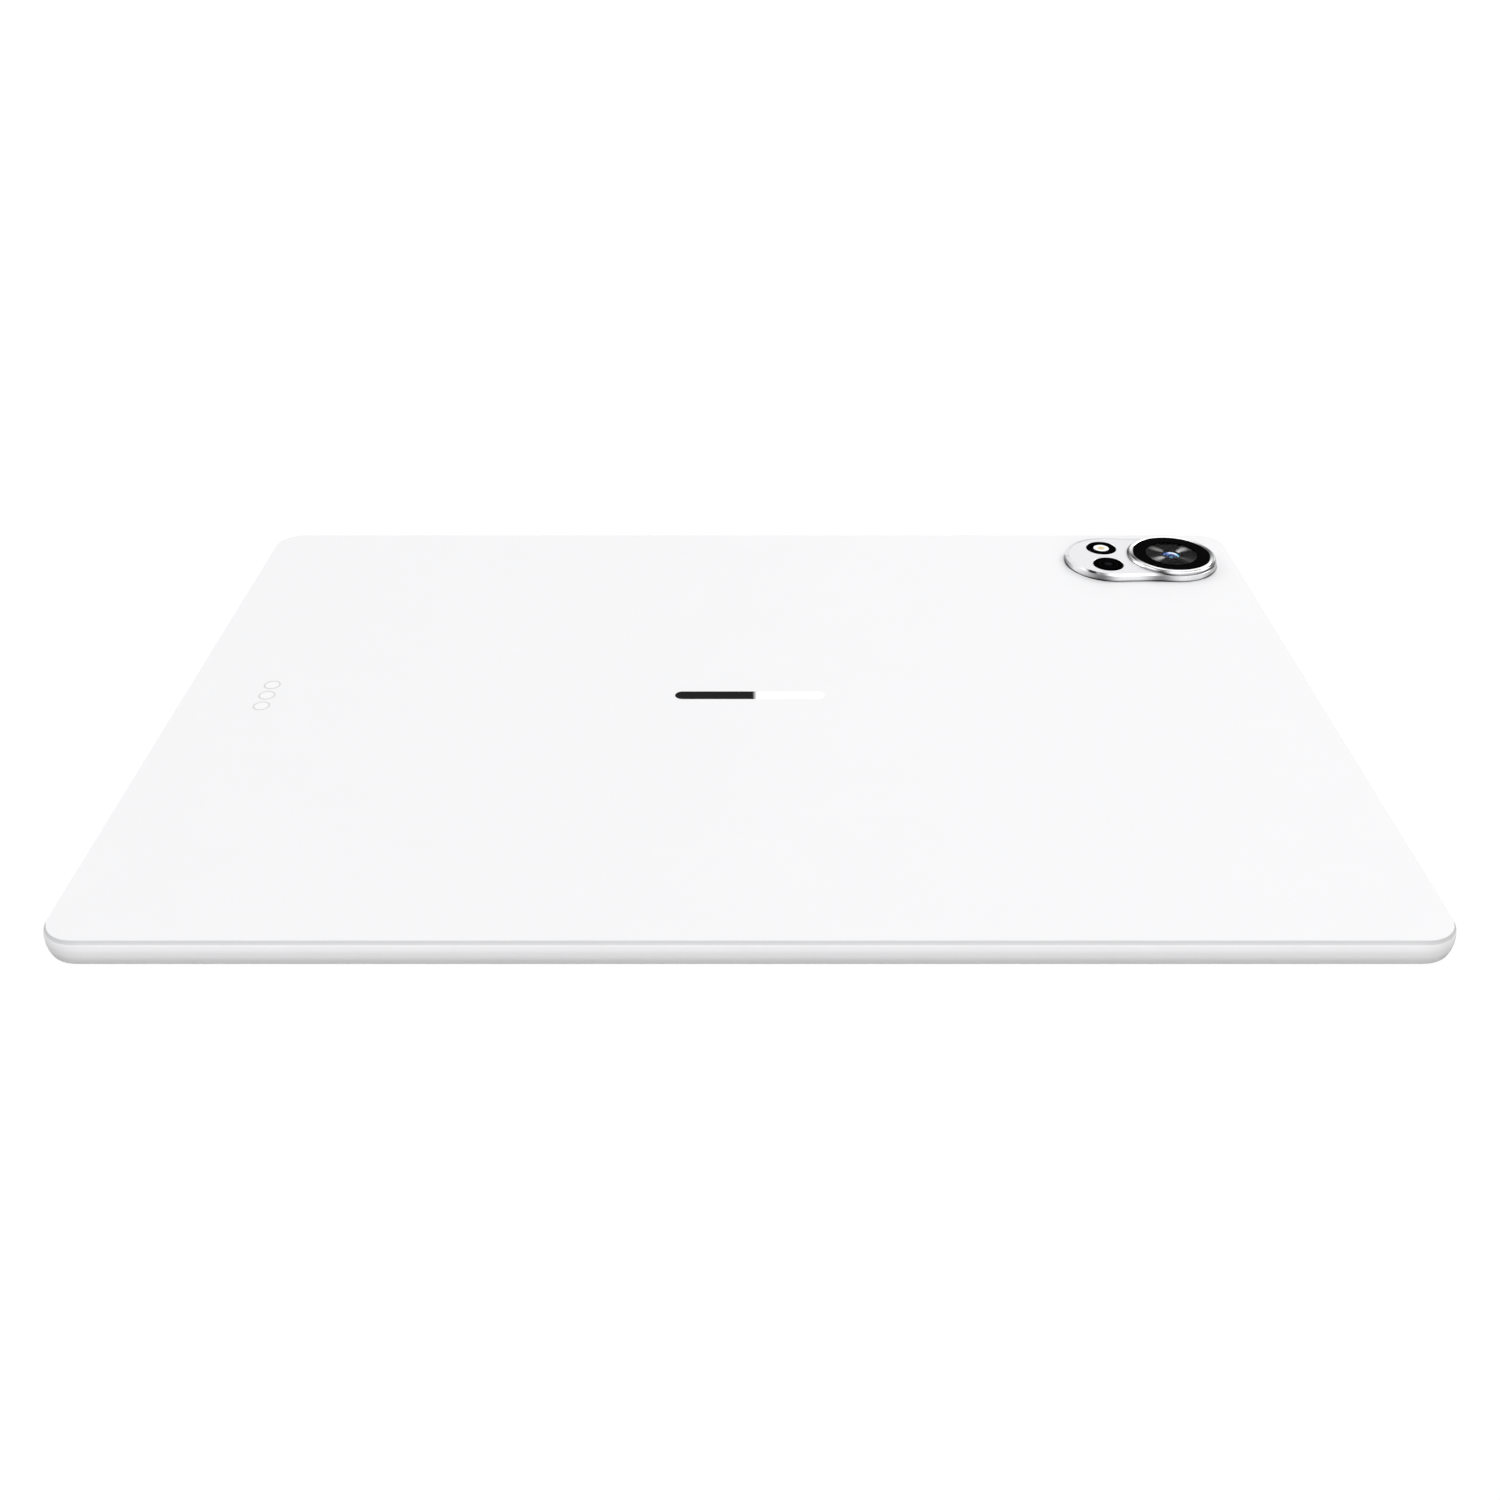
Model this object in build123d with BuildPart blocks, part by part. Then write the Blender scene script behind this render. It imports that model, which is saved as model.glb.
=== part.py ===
"""A 12-inch tablet computer lying on its screen, in millimetres.

The origin is the middle of the front glass, on the plane that the tablet lies on. +X runs
along the long edge, +Y along the short edge towards the cameras' long edge, and +Z points
out of the back. The cameras sit in the corner at +X, +Y.
"""

import os
from math import sqrt

from build123d import *

# ---------------------------------------------------------------- driving dimensions
BODY_LENGTH = 270.0
BODY_WIDTH = 183.0
BODY_THICKNESS = 5.9
CORNER_RADIUS = 7.8
HALF_LENGTH = BODY_LENGTH / 2
HALF_WIDTH = BODY_WIDTH / 2

# Housing walls. Each inset is measured in from the body's widest outline.
BACK_WALL = 0.8
SIDE_WALL = 3.2
BACK_INSIDE = BODY_THICKNESS - BACK_WALL
RIM_BOTTOM = 0.35
SHELF_HEIGHT = 0.85
GLASS_POCKET_INSET = 1.0
CHAMFER_INSET = 0.85
CREASE_INSET = 0.25
CREASE_HEIGHT = 5.0
WIDEST_HEIGHT = 3.086
LIP_INSET = 0.42
LIP_HEIGHT = 0.62

# Screen stack
GLASS_THICKNESS = 0.7
GLASS_INSET = 1.1
ACTIVE_LENGTH = 253.6
ACTIVE_WIDTH = 169.1
PANEL_LENGTH = ACTIVE_LENGTH + 2 * 1.2
PANEL_WIDTH = ACTIVE_WIDTH + 2 * 2.0
PANEL_TOP = 1.25
BACKLIGHT_TOP = 2.15
GRAPHITE_TOP = 2.25
PANEL_NOTCH_LENGTH = 8.4
PANEL_NOTCH_DEPTH = 1.9

# Camera island: two lobes joined by a shallow waist on each side
ISLAND_Y = 73.05
LOBE_LEFT_X = 99.7
LOBE_RIGHT_X = 116.5
LOBE_LEFT_RADIUS = 12.25
LOBE_RIGHT_RADIUS = 12.35
WAIST_RADIUS = 75.0
ISLAND_TOP = BODY_THICKNESS + 1.8
ISLAND_RIM = 0.95
ISLAND_SLOPE_WIDTH = 0.88
ISLAND_SLOPE_HEIGHT = 0.3
ISLAND_FLANGE = BODY_THICKNESS + 0.4
ISLAND_HOLE_INSET = 1.6
ISLAND_SPIGOT_BOTTOM = BODY_THICKNESS - 0.6
ISLAND_SPIGOT_WALL = 0.85
ISLAND_SEAT = BODY_THICKNESS - 0.3
ISLAND_SEAT_GAP = 0.32
PLATE_TOP = ISLAND_TOP - 0.02
PLATE_EDGE_CHAMFER = 0.2

# Main camera, under the bezel on the right lobe
MAIN_CAMERA = (LOBE_RIGHT_X, ISLAND_Y)
MAIN_AXIS = Axis((*MAIN_CAMERA, 0), (0, 0, 1))
MAIN_SECTION = Plane(origin=(*MAIN_CAMERA, 0), x_dir=(1, 0, 0), z_dir=(0, -1, 0))
BEZEL_RADIUS = 12.0
BEZEL_FOOT_RADIUS = 11.7
BEZEL_RIM_RADIUS = 11.1
BEZEL_STEP_RADIUS = 11.45
BEZEL_BORE = 10.5
BEZEL_SPIGOT_RADIUS = 11.05
BEZEL_SPIGOT_BOTTOM = ISLAND_FLANGE + 0.2
BEZEL_LEDGE_RADIUS = 10.1
BEZEL_TOP = BODY_THICKNESS + 2.7
MAIN_GLASS_TOP = BEZEL_TOP - 0.1
BEZEL_STEP_HEIGHT = BEZEL_TOP - 0.26
BEZEL_LEDGE_HEIGHT = MAIN_GLASS_TOP - 0.25
SPUN_DISC_RADIUS = 7.25
SPUN_DISC_BORE = 2.75
SPUN_DISC_TOP = BEZEL_LEDGE_HEIGHT - 0.03
SPUN_DISC_BOTTOM = SPUN_DISC_TOP - 0.25
SPUN_HUB_RADIUS = 4.6
NOSE_RADIUS = 2.65
NOSE_TOP = 8.12
ELEMENT_RADIUS = 2.3
ELEMENT_THICKNESS = 0.95
ELEMENT_DOME = 0.35
BARREL_RADIUS = 3.0
BARREL_BOTTOM = 3.6
CAN_SIDE = 9.6
CAN_BOTTOM = 2.75
CAN_TOP = 7.0

# Second camera and flash, on the left lobe
SMALL_LENS_X = 98.2
FLASH = (SMALL_LENS_X, 78.3)
SECOND_CAMERA = (SMALL_LENS_X, 68.0)
SMALL_LENS_RADIUS = 4.05
SMALL_LENS_TOP = ISLAND_TOP + 0.03
SMALL_LENS_BOTTOM = ISLAND_TOP - 0.75
SECOND_CAN_SIDE = 6.8
SECOND_CAN_BOTTOM = 2.7
SECOND_CAN_TOP = 6.2
SECOND_NOSE_RADIUS = 2.6
SECOND_NOSE_TOP = 6.9
FLASH_LENS_RADIUS = 2.2
FLASH_LENS_HEIGHT = 0.7
FLASH_BASE_RADIUS = 3.0
FLASH_BASE_HEIGHT = 1.6

# Contacts for a keyboard cover, flush in the back
CONTACT_X = -114.6
CONTACT_PITCH = 4.9
CONTACT_HOLE_RADIUS = 2.0
INSULATOR_RADIUS = 1.97
CONTACT_RADIUS = 1.6

# Plain mirror inlay in the middle of the back
INLAY_LENGTH = 35.6
INLAY_WIDTH = 3.6
INLAY_DEPTH = 0.15

# Keys, and the holes in the side walls, are centred at this height
SIDE_AXIS_HEIGHT = 3.25
KEY_HEIGHT = 2.0
KEY_PROUD = 0.35
KEY_GAP = 0.1
KEY_WALL = 1.45
KEY_POCKET_HEIGHT = 3.1
KEY_POCKET_MARGIN = 0.6
FLANGE_HEIGHT = 2.7
FLANGE_OVERHANG = 1.2
FLANGE_THICKNESS = 0.5
NUB_LENGTH = 0.25
NUB_RADIUS = 0.7
DOME_HEIGHT = 0.35
DOME_GAP = 0.05
SWITCH_DEPTH = 0.9
SWITCH_LENGTH = 3.4
SWITCH_HEIGHT = 2.6
POWER_KEY_Y = 72.0
POWER_KEY_LENGTH = 13.0
POWER_FLANGE_GAP = 0.05
VOLUME_KEY_X = 100.0
VOLUME_KEY_LENGTH = 25.0
VOLUME_FLANGE_GAP = 0.35
VOLUME_SWITCH_OFFSET = 8.0
PIVOT_DEPTH = 2.75
PIVOT_RADIUS = 0.45
KEY_BRACKET_SHEET = 0.4
KEY_BRACKET_BOTTOM = 2.3

# Speakers behind the two short edges, microphones behind the long edge at +Y
SPEAKER_Y = 46.0
SPEAKER_LENGTH = 31.0
SPEAKER_OUTER_X = 131.3
SPEAKER_INNER_X = 112.0
GRILLE_HOLES = 14
GRILLE_PITCH = 1.9
GRILLE_HOLE_RADIUS = 0.55
MICROPHONE_X = 62.0
MICROPHONE_HOLE_RADIUS = 0.45

# USB-C receptacle in the short edge at -X
USB_WIDTH = 8.94
USB_HEIGHT = 3.1
USB_WALL = 0.28
USB_MOUTH_X = -HALF_LENGTH + 0.45
USB_REAR_X = -HALF_LENGTH + 6.85
TONGUE_X = USB_MOUTH_X + 0.8
TONGUE_WIDTH = 6.7
TONGUE_THICKNESS = 0.7
TONGUE_BASE_X = USB_REAR_X - 1.2

# Boards and flexible circuits
MAIN_BOARD_X = (-66.0, 82.0)
MAIN_BOARD_Y = (50.0, 84.0)
MAIN_BOARD_Z = (3.6, 4.3)
USB_BOARD_X = (-131.6, -119.0)
USB_BOARD_HALF_WIDTH = 16.0
USB_BOARD_Z = (3.0, 3.6)
SHIELD_Z = (2.45, 3.6)
SHIELD_SHEET = 0.2
FLEX_THICKNESS = 0.12
DISPLAY_FLEX_X = (-3.0, 11.0)

# Battery
CELL_X = (2.0, 106.0)
CELL_Y = (-84.0, 22.0)
CELL_Z = (2.4, 5.0)

# Screws, driven from the screen side into bosses on the back
BOARD_SCREW_RADIUS = 0.66
BRACKET_SCREW_RADIUS = 0.56
SCREW_HOLE_GAP = 0.04
BOSS_WALL = 1.2
SCREW_TIP_Z = 5.35
SCREW_HOLE_Z = 5.45
BRACKET_Z = (4.5, 4.8)
BOARD_SCREWS = [(x, y) for x in (-61.0, 14.6, 78.0) for y in (54.0, 80.0)]
USB_SCREWS = [(-122.5, -8.5), (-122.5, 8.5)]
CAMERA_SCREWS = [(86.5, 66.0), (86.5, 81.0), (106.5, 60.5), (122.0, 85.3)]
POWER_SCREWS = [(129.0, POWER_KEY_Y - 7.5), (129.0, POWER_KEY_Y + 7.5)]
VOLUME_SCREWS = [(VOLUME_KEY_X - 14.5, 85.7), (VOLUME_KEY_X + 14.5, 85.7)]
BRACKET_SCREWS = CAMERA_SCREWS + POWER_SCREWS + VOLUME_SCREWS

os.makedirs("parts", exist_ok=True)


# ---------------------------------------------------------------- shared shapes
def save(piece, name):
    """Labels a finished piece and writes its STEP file."""
    piece.part.label = name
    export_step(piece.part, f"parts/{name}.step")


def around(centre, size):
    """The two limits of a span, from its middle and its size."""
    return (centre - size / 2, centre + size / 2)


def mirrored(limits):
    """The same pair of limits on the other side of zero."""
    return (-limits[1], -limits[0])


def body_outline(inset):
    """The body's rounded rectangle, moved in from its widest outline."""
    return RectangleRounded(
        BODY_LENGTH - 2 * inset, BODY_WIDTH - 2 * inset, CORNER_RADIUS - inset
    )


def blocks(limits, corner=0.0):
    """Flat blocks, each between its X, Y and Z limits, with their upright edges rounded."""
    with BuildPart() as group:
        for x_limits, y_limits, z_limits in limits:
            length = x_limits[1] - x_limits[0]
            width = y_limits[1] - y_limits[0]
            with BuildSketch(Plane.XY.offset(z_limits[0])):
                with Locations((sum(x_limits) / 2, sum(y_limits) / 2)):
                    if corner:
                        RectangleRounded(length, width, corner)
                    else:
                        Rectangle(length, width)
            extrude(amount=z_limits[1] - z_limits[0])
    return group


def ring(centre, outer_radius, inner_radius, z_limits):
    """A flat ring, or a disc where the inner radius is zero."""
    with BuildPart() as piece:
        with BuildSketch(Plane.XY.offset(z_limits[0])):
            with Locations(centre):
                Circle(outer_radius)
                if inner_radius:
                    Circle(inner_radius, mode=Mode.SUBTRACT)
        extrude(amount=z_limits[1] - z_limits[0])
    return piece


def bent_flex(plane, profile, width, bend_radius):
    """A ribbon of flexible circuit that follows a profile drawn on the plane."""
    with BuildPart() as flex:
        with BuildSketch(plane):
            with BuildLine():
                FilletPolyline(*profile, radius=bend_radius)
            trace(line_width=FLEX_THICKNESS)
        extrude(amount=width)
    return flex


def island_outline(inset):
    """The camera island's outline, both lobes and the two waists, moved in by inset."""
    left = LOBE_LEFT_RADIUS - inset
    right = LOBE_RIGHT_RADIUS - inset
    waist = WAIST_RADIUS + inset
    span = LOBE_RIGHT_X - LOBE_LEFT_X
    waist_x = ((left + waist) ** 2 - (right + waist) ** 2 + span**2) / (2 * span)
    waist_y = sqrt((left + waist) ** 2 - waist_x**2)
    left_middle = Vector(LOBE_LEFT_X, ISLAND_Y)
    right_middle = Vector(LOBE_RIGHT_X, ISLAND_Y)

    def waist_points(side):
        waist_middle = left_middle + Vector(waist_x, side * waist_y)
        on_left = left_middle + (waist_middle - left_middle).normalized() * left
        on_right = right_middle + (waist_middle - right_middle).normalized() * right
        between = waist_middle - Vector(0, side * waist)
        return on_left, between, on_right

    upper_left, upper_between, upper_right = waist_points(1)
    lower_left, lower_between, lower_right = waist_points(-1)
    with BuildSketch() as outline:
        with BuildLine():
            ThreePointArc(upper_left, left_middle - Vector(left, 0), lower_left)
            ThreePointArc(lower_left, lower_between, lower_right)
            ThreePointArc(lower_right, right_middle + Vector(right, 0), upper_right)
            ThreePointArc(upper_right, upper_between, upper_left)
        make_face()
    return outline.sketch


# ---------------------------------------------------------------- rear housing
with BuildPart() as rear_housing:
    # Side wall: a flat chamfer above a bulged side and a rolled lower lip, swept round
    # the inner outline
    inner_x = HALF_LENGTH - SIDE_WALL
    inner_y = HALF_WIDTH - SIDE_WALL
    with BuildLine() as wall_path:
        FilletPolyline(
            (0, inner_y, 0),
            (-inner_x, inner_y, 0),
            (-inner_x, -inner_y, 0),
            (inner_x, -inner_y, 0),
            (inner_x, inner_y, 0),
            radius=[0.0] + [CORNER_RADIUS - SIDE_WALL] * 4,
            close=True,
        )
    with BuildSketch(Plane(origin=(0, inner_y, 0), x_dir=(0, 1, 0), z_dir=(1, 0, 0))):
        crease = (SIDE_WALL - CREASE_INSET, CREASE_HEIGHT)
        lip_top = (SIDE_WALL - LIP_INSET, LIP_HEIGHT)
        lip_bottom = (SIDE_WALL - LIP_INSET - 0.35, RIM_BOTTOM)
        with BuildLine():
            Polyline(
                crease,
                (SIDE_WALL - CHAMFER_INSET, BODY_THICKNESS),
                (0, BODY_THICKNESS),
                (0, SHELF_HEIGHT),
                (SIDE_WALL - GLASS_POCKET_INSET, SHELF_HEIGHT),
                (SIDE_WALL - GLASS_POCKET_INSET, RIM_BOTTOM),
                lip_bottom,
            )
            TangentArc(lip_bottom, lip_top, tangent=(1, 0))
            ThreePointArc(lip_top, (SIDE_WALL, WIDEST_HEIGHT), crease)
        make_face()
    sweep(path=wall_path.wire())

    # Back plate
    with BuildSketch(Plane.XY.offset(BACK_INSIDE)):
        body_outline(SIDE_WALL)
    extrude(amount=BACK_WALL)

    # Screw bosses, each with a blind hole
    for points, boss_bottom, screw_radius in (
        (BOARD_SCREWS, MAIN_BOARD_Z[1], BOARD_SCREW_RADIUS),
        (USB_SCREWS, USB_BOARD_Z[1], BOARD_SCREW_RADIUS),
        (BRACKET_SCREWS, BRACKET_Z[1], BRACKET_SCREW_RADIUS),
    ):
        with BuildSketch(Plane.XY.offset(boss_bottom)):
            with Locations(*points):
                Circle(screw_radius + BOSS_WALL)
        extrude(amount=BACK_INSIDE - boss_bottom)
        with BuildSketch(Plane.XY.offset(boss_bottom)):
            with Locations(*points):
                Circle(screw_radius + SCREW_HOLE_GAP)
        extrude(amount=SCREW_HOLE_Z - boss_bottom, mode=Mode.SUBTRACT)

    # Camera opening with the island's shallow seat round it, contact holes and inlay pocket
    with BuildSketch(Plane.XY.offset(BACK_INSIDE)):
        add(island_outline(ISLAND_HOLE_INSET))
        with Locations((CONTACT_X, 0)):
            with GridLocations(1, CONTACT_PITCH, 1, 3):
                Circle(CONTACT_HOLE_RADIUS)
    extrude(amount=BACK_WALL, mode=Mode.SUBTRACT)
    with BuildSketch(Plane.XY.offset(ISLAND_SEAT)):
        add(island_outline(-ISLAND_SEAT_GAP))
    extrude(amount=BODY_THICKNESS - ISLAND_SEAT, mode=Mode.SUBTRACT)
    with BuildSketch(Plane.XY.offset(BODY_THICKNESS - INLAY_DEPTH)):
        SlotOverall(INLAY_LENGTH, INLAY_WIDTH)
    extrude(amount=INLAY_DEPTH, mode=Mode.SUBTRACT)

    # Speaker holes, through both short walls at once
    with BuildSketch(Plane.YZ):
        with Locations((-SPEAKER_Y, SIDE_AXIS_HEIGHT), (SPEAKER_Y, SIDE_AXIS_HEIGHT)):
            with GridLocations(GRILLE_PITCH, 1, GRILLE_HOLES, 1):
                Circle(GRILLE_HOLE_RADIUS)
    extrude(amount=HALF_LENGTH + 1, both=True, mode=Mode.SUBTRACT)

    # Microphone holes through the long wall at +Y
    with BuildSketch(Plane.XZ.offset(-HALF_WIDTH)):
        with Locations((-MICROPHONE_X, SIDE_AXIS_HEIGHT), (MICROPHONE_X, SIDE_AXIS_HEIGHT)):
            Circle(MICROPHONE_HOLE_RADIUS)
    extrude(amount=SIDE_WALL + 0.5, mode=Mode.SUBTRACT)

    # USB-C opening through the short wall at -X
    with BuildSketch(Plane.YZ.offset(-HALF_LENGTH)):
        with Locations((0, SIDE_AXIS_HEIGHT)):
            SlotOverall(USB_WIDTH + KEY_GAP, USB_HEIGHT + KEY_GAP)
    extrude(amount=SIDE_WALL + 0.5, mode=Mode.SUBTRACT)

    # Slot for each key, and the wider pocket behind it for the key's flange
    for key_plane, inward, key_place, key_length in (
        (Plane.YZ.offset(HALF_LENGTH), -1, POWER_KEY_Y, POWER_KEY_LENGTH),
        (Plane.XZ.offset(-HALF_WIDTH), 1, VOLUME_KEY_X, VOLUME_KEY_LENGTH),
    ):
        with BuildSketch(key_plane):
            with Locations((key_place, SIDE_AXIS_HEIGHT)):
                SlotOverall(key_length + 2 * KEY_GAP, KEY_HEIGHT + 2 * KEY_GAP)
        extrude(amount=inward * (KEY_WALL + 0.1), mode=Mode.SUBTRACT)
        with BuildSketch(key_plane.offset(inward * KEY_WALL)):
            with Locations((key_place, SIDE_AXIS_HEIGHT)):
                RectangleRounded(
                    key_length + 2 * (FLANGE_OVERHANG + KEY_POCKET_MARGIN),
                    KEY_POCKET_HEIGHT,
                    0.5,
                )
        extrude(amount=inward * (SIDE_WALL - KEY_WALL + 0.5), mode=Mode.SUBTRACT)
save(rear_housing, "rear_housing")

with BuildPart() as back_inlay:
    with BuildSketch(Plane.XY.offset(BODY_THICKNESS - INLAY_DEPTH)):
        SlotOverall(INLAY_LENGTH - 0.04, INLAY_WIDTH - 0.04)
    extrude(amount=INLAY_DEPTH)
save(back_inlay, "back_inlay")

# ---------------------------------------------------------------- screen
with BuildPart() as cover_glass:
    with BuildSketch():
        body_outline(GLASS_INSET)
    extrude(amount=GLASS_THICKNESS)
    fillet(cover_glass.edges().group_by(Axis.Z)[0], radius=0.3)
save(cover_glass, "cover_glass")

with BuildPart() as display_adhesive:
    with BuildSketch(Plane.XY.offset(GLASS_THICKNESS)) as adhesive_ring:
        body_outline(GLASS_INSET + 0.3)
        offset(adhesive_ring.sketch, amount=-1.7, mode=Mode.SUBTRACT)
    extrude(amount=SHELF_HEIGHT - GLASS_THICKNESS)
save(display_adhesive, "display_adhesive")


def panel_layer(z_limits, inset):
    """One layer of the display module, notched for the front camera."""
    with BuildPart() as layer:
        with BuildSketch(Plane.XY.offset(z_limits[0])):
            RectangleRounded(PANEL_LENGTH - 2 * inset, PANEL_WIDTH - 2 * inset, 1.5)
            with Locations((0, PANEL_WIDTH / 2)):
                Rectangle(
                    PANEL_NOTCH_LENGTH, 2 * PANEL_NOTCH_DEPTH, mode=Mode.SUBTRACT
                )
        extrude(amount=z_limits[1] - z_limits[0])
    return layer


save(panel_layer((GLASS_THICKNESS, PANEL_TOP), 0.0), "lcd_panel")
save(panel_layer((PANEL_TOP, BACKLIGHT_TOP), 0.1), "backlight_unit")

graphite_sheet = blocks(
    [(around(0, 210), (CELL_Y[0], CELL_Y[1] + 4), (BACKLIGHT_TOP, GRAPHITE_TOP))], 3.0
)
save(graphite_sheet, "graphite_sheet")

display_flex = bent_flex(
    Plane.YZ.offset(DISPLAY_FLEX_X[0]),
    [
        (30, BACKLIGHT_TOP + FLEX_THICKNESS / 2),
        (46, BACKLIGHT_TOP + FLEX_THICKNESS / 2),
        (58, MAIN_BOARD_Z[0] - 0.25),
        (64, MAIN_BOARD_Z[0] - 0.25),
    ],
    DISPLAY_FLEX_X[1] - DISPLAY_FLEX_X[0],
    20.0,
)
save(display_flex, "display_flex")

# ---------------------------------------------------------------- camera island
with BuildPart() as camera_island_frame:
    with BuildSketch(Plane.XY.offset(ISLAND_SEAT)):
        add(island_outline(0))
    extrude(amount=ISLAND_TOP - ISLAND_SEAT)
    # Sloped rim above an upright wall
    chamfer(
        camera_island_frame.edges().group_by(Axis.Z)[-1],
        length=ISLAND_SLOPE_WIDTH,
        length2=ISLAND_SLOPE_HEIGHT,
        reference=camera_island_frame.faces().sort_by(Axis.Z)[-1],
    )
    with BuildSketch(Plane.XY.offset(ISLAND_FLANGE)):
        add(island_outline(ISLAND_RIM))
    extrude(amount=ISLAND_TOP - ISLAND_FLANGE, mode=Mode.SUBTRACT)
    # Spigot in the housing's opening
    with BuildSketch(Plane.XY.offset(ISLAND_SPIGOT_BOTTOM)):
        add(island_outline(ISLAND_HOLE_INSET + 0.05))
    extrude(amount=BODY_THICKNESS - ISLAND_SPIGOT_BOTTOM)
    with BuildSketch(Plane.XY.offset(ISLAND_SPIGOT_BOTTOM)):
        add(island_outline(ISLAND_HOLE_INSET + 0.05 + ISLAND_SPIGOT_WALL))
    extrude(amount=ISLAND_FLANGE - ISLAND_SPIGOT_BOTTOM, mode=Mode.SUBTRACT)
save(camera_island_frame, "camera_island_frame")

with BuildPart() as camera_island_plate:
    with BuildSketch(Plane.XY.offset(ISLAND_FLANGE)):
        add(island_outline(ISLAND_RIM + 0.02))
        with Locations(MAIN_CAMERA):
            Circle(BEZEL_SPIGOT_RADIUS + 0.05, mode=Mode.SUBTRACT)
        with Locations(FLASH, SECOND_CAMERA):
            Circle(SMALL_LENS_RADIUS + 0.03, mode=Mode.SUBTRACT)
    extrude(amount=PLATE_TOP - ISLAND_FLANGE)
    top_edges = camera_island_plate.edges().group_by(Axis.Z)[-1]
    chamfer(
        top_edges.filter_by(lambda edge: edge.radius == SMALL_LENS_RADIUS + 0.03),
        length=PLATE_EDGE_CHAMFER,
    )
save(camera_island_plate, "camera_island_plate")

with BuildPart() as main_camera_bezel:
    with BuildSketch(MAIN_SECTION):
        with BuildLine():
            Polyline(
                (BEZEL_RIM_RADIUS, BEZEL_TOP),
                (BEZEL_BORE + 0.2, BEZEL_TOP),
                (BEZEL_BORE, BEZEL_TOP - 0.12),
                (BEZEL_BORE, BEZEL_LEDGE_HEIGHT),
                (BEZEL_LEDGE_RADIUS, BEZEL_LEDGE_HEIGHT),
                (BEZEL_LEDGE_RADIUS, BEZEL_SPIGOT_BOTTOM),
                (BEZEL_SPIGOT_RADIUS, BEZEL_SPIGOT_BOTTOM),
                (BEZEL_SPIGOT_RADIUS, ISLAND_TOP),
                (BEZEL_FOOT_RADIUS, ISLAND_TOP),
                (BEZEL_FOOT_RADIUS, ISLAND_TOP + 0.12),
                (BEZEL_RADIUS, ISLAND_TOP + 0.22),
                (BEZEL_RADIUS, ISLAND_TOP + 0.34),
            )
            # Lower ring, a fine groove, then the rounded rim
            ThreePointArc(
                (BEZEL_RADIUS, ISLAND_TOP + 0.34),
                (BEZEL_RADIUS - 0.18, BEZEL_STEP_HEIGHT - 0.12),
                (BEZEL_STEP_RADIUS, BEZEL_STEP_HEIGHT),
            )
            Line(
                (BEZEL_STEP_RADIUS, BEZEL_STEP_HEIGHT),
                (BEZEL_STEP_RADIUS - 0.08, BEZEL_STEP_HEIGHT),
            )
            Line(
                (BEZEL_STEP_RADIUS - 0.08, BEZEL_STEP_HEIGHT),
                (BEZEL_STEP_RADIUS - 0.05, BEZEL_STEP_HEIGHT + 0.08),
            )
            ThreePointArc(
                (BEZEL_STEP_RADIUS - 0.05, BEZEL_STEP_HEIGHT + 0.08),
                (BEZEL_RIM_RADIUS + 0.2, BEZEL_TOP - 0.06),
                (BEZEL_RIM_RADIUS, BEZEL_TOP),
            )
        make_face()
    revolve(axis=MAIN_AXIS)
save(main_camera_bezel, "main_camera_bezel")

with BuildPart() as main_lens_glass:
    with BuildSketch(Plane.XY.offset(BEZEL_LEDGE_HEIGHT)):
        with Locations(MAIN_CAMERA):
            Circle(BEZEL_BORE - 0.05)
    extrude(amount=MAIN_GLASS_TOP - BEZEL_LEDGE_HEIGHT)
    chamfer(main_lens_glass.edges().group_by(Axis.Z)[-1], length=0.12)
save(main_lens_glass, "main_lens_glass")

save(
    ring(
        MAIN_CAMERA,
        BEZEL_LEDGE_RADIUS - 0.05,
        SPUN_DISC_RADIUS + 0.05,
        (BEZEL_LEDGE_HEIGHT - 0.2, BEZEL_LEDGE_HEIGHT),
    ),
    "main_lens_trim_ring",
)

with BuildPart() as main_lens_spun_disc:
    with BuildSketch(Plane.XY.offset(CAN_TOP)):
        with Locations(MAIN_CAMERA):
            Circle(SPUN_HUB_RADIUS)
    extrude(amount=SPUN_DISC_BOTTOM - CAN_TOP)
    with BuildSketch(Plane.XY.offset(SPUN_DISC_BOTTOM)):
        with Locations(MAIN_CAMERA):
            Circle(SPUN_DISC_RADIUS)
    extrude(amount=SPUN_DISC_TOP - SPUN_DISC_BOTTOM)
    with Locations((*MAIN_CAMERA, SPUN_DISC_TOP)):
        CounterSinkHole(radius=SPUN_DISC_BORE, counter_sink_radius=SPUN_DISC_BORE + 0.2)
    with BuildSketch(Plane.XY.offset(CAN_TOP)):
        with Locations(MAIN_CAMERA):
            Circle(BARREL_RADIUS + 0.2)
    extrude(amount=0.5, mode=Mode.SUBTRACT)
save(main_lens_spun_disc, "main_lens_spun_disc")

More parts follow.
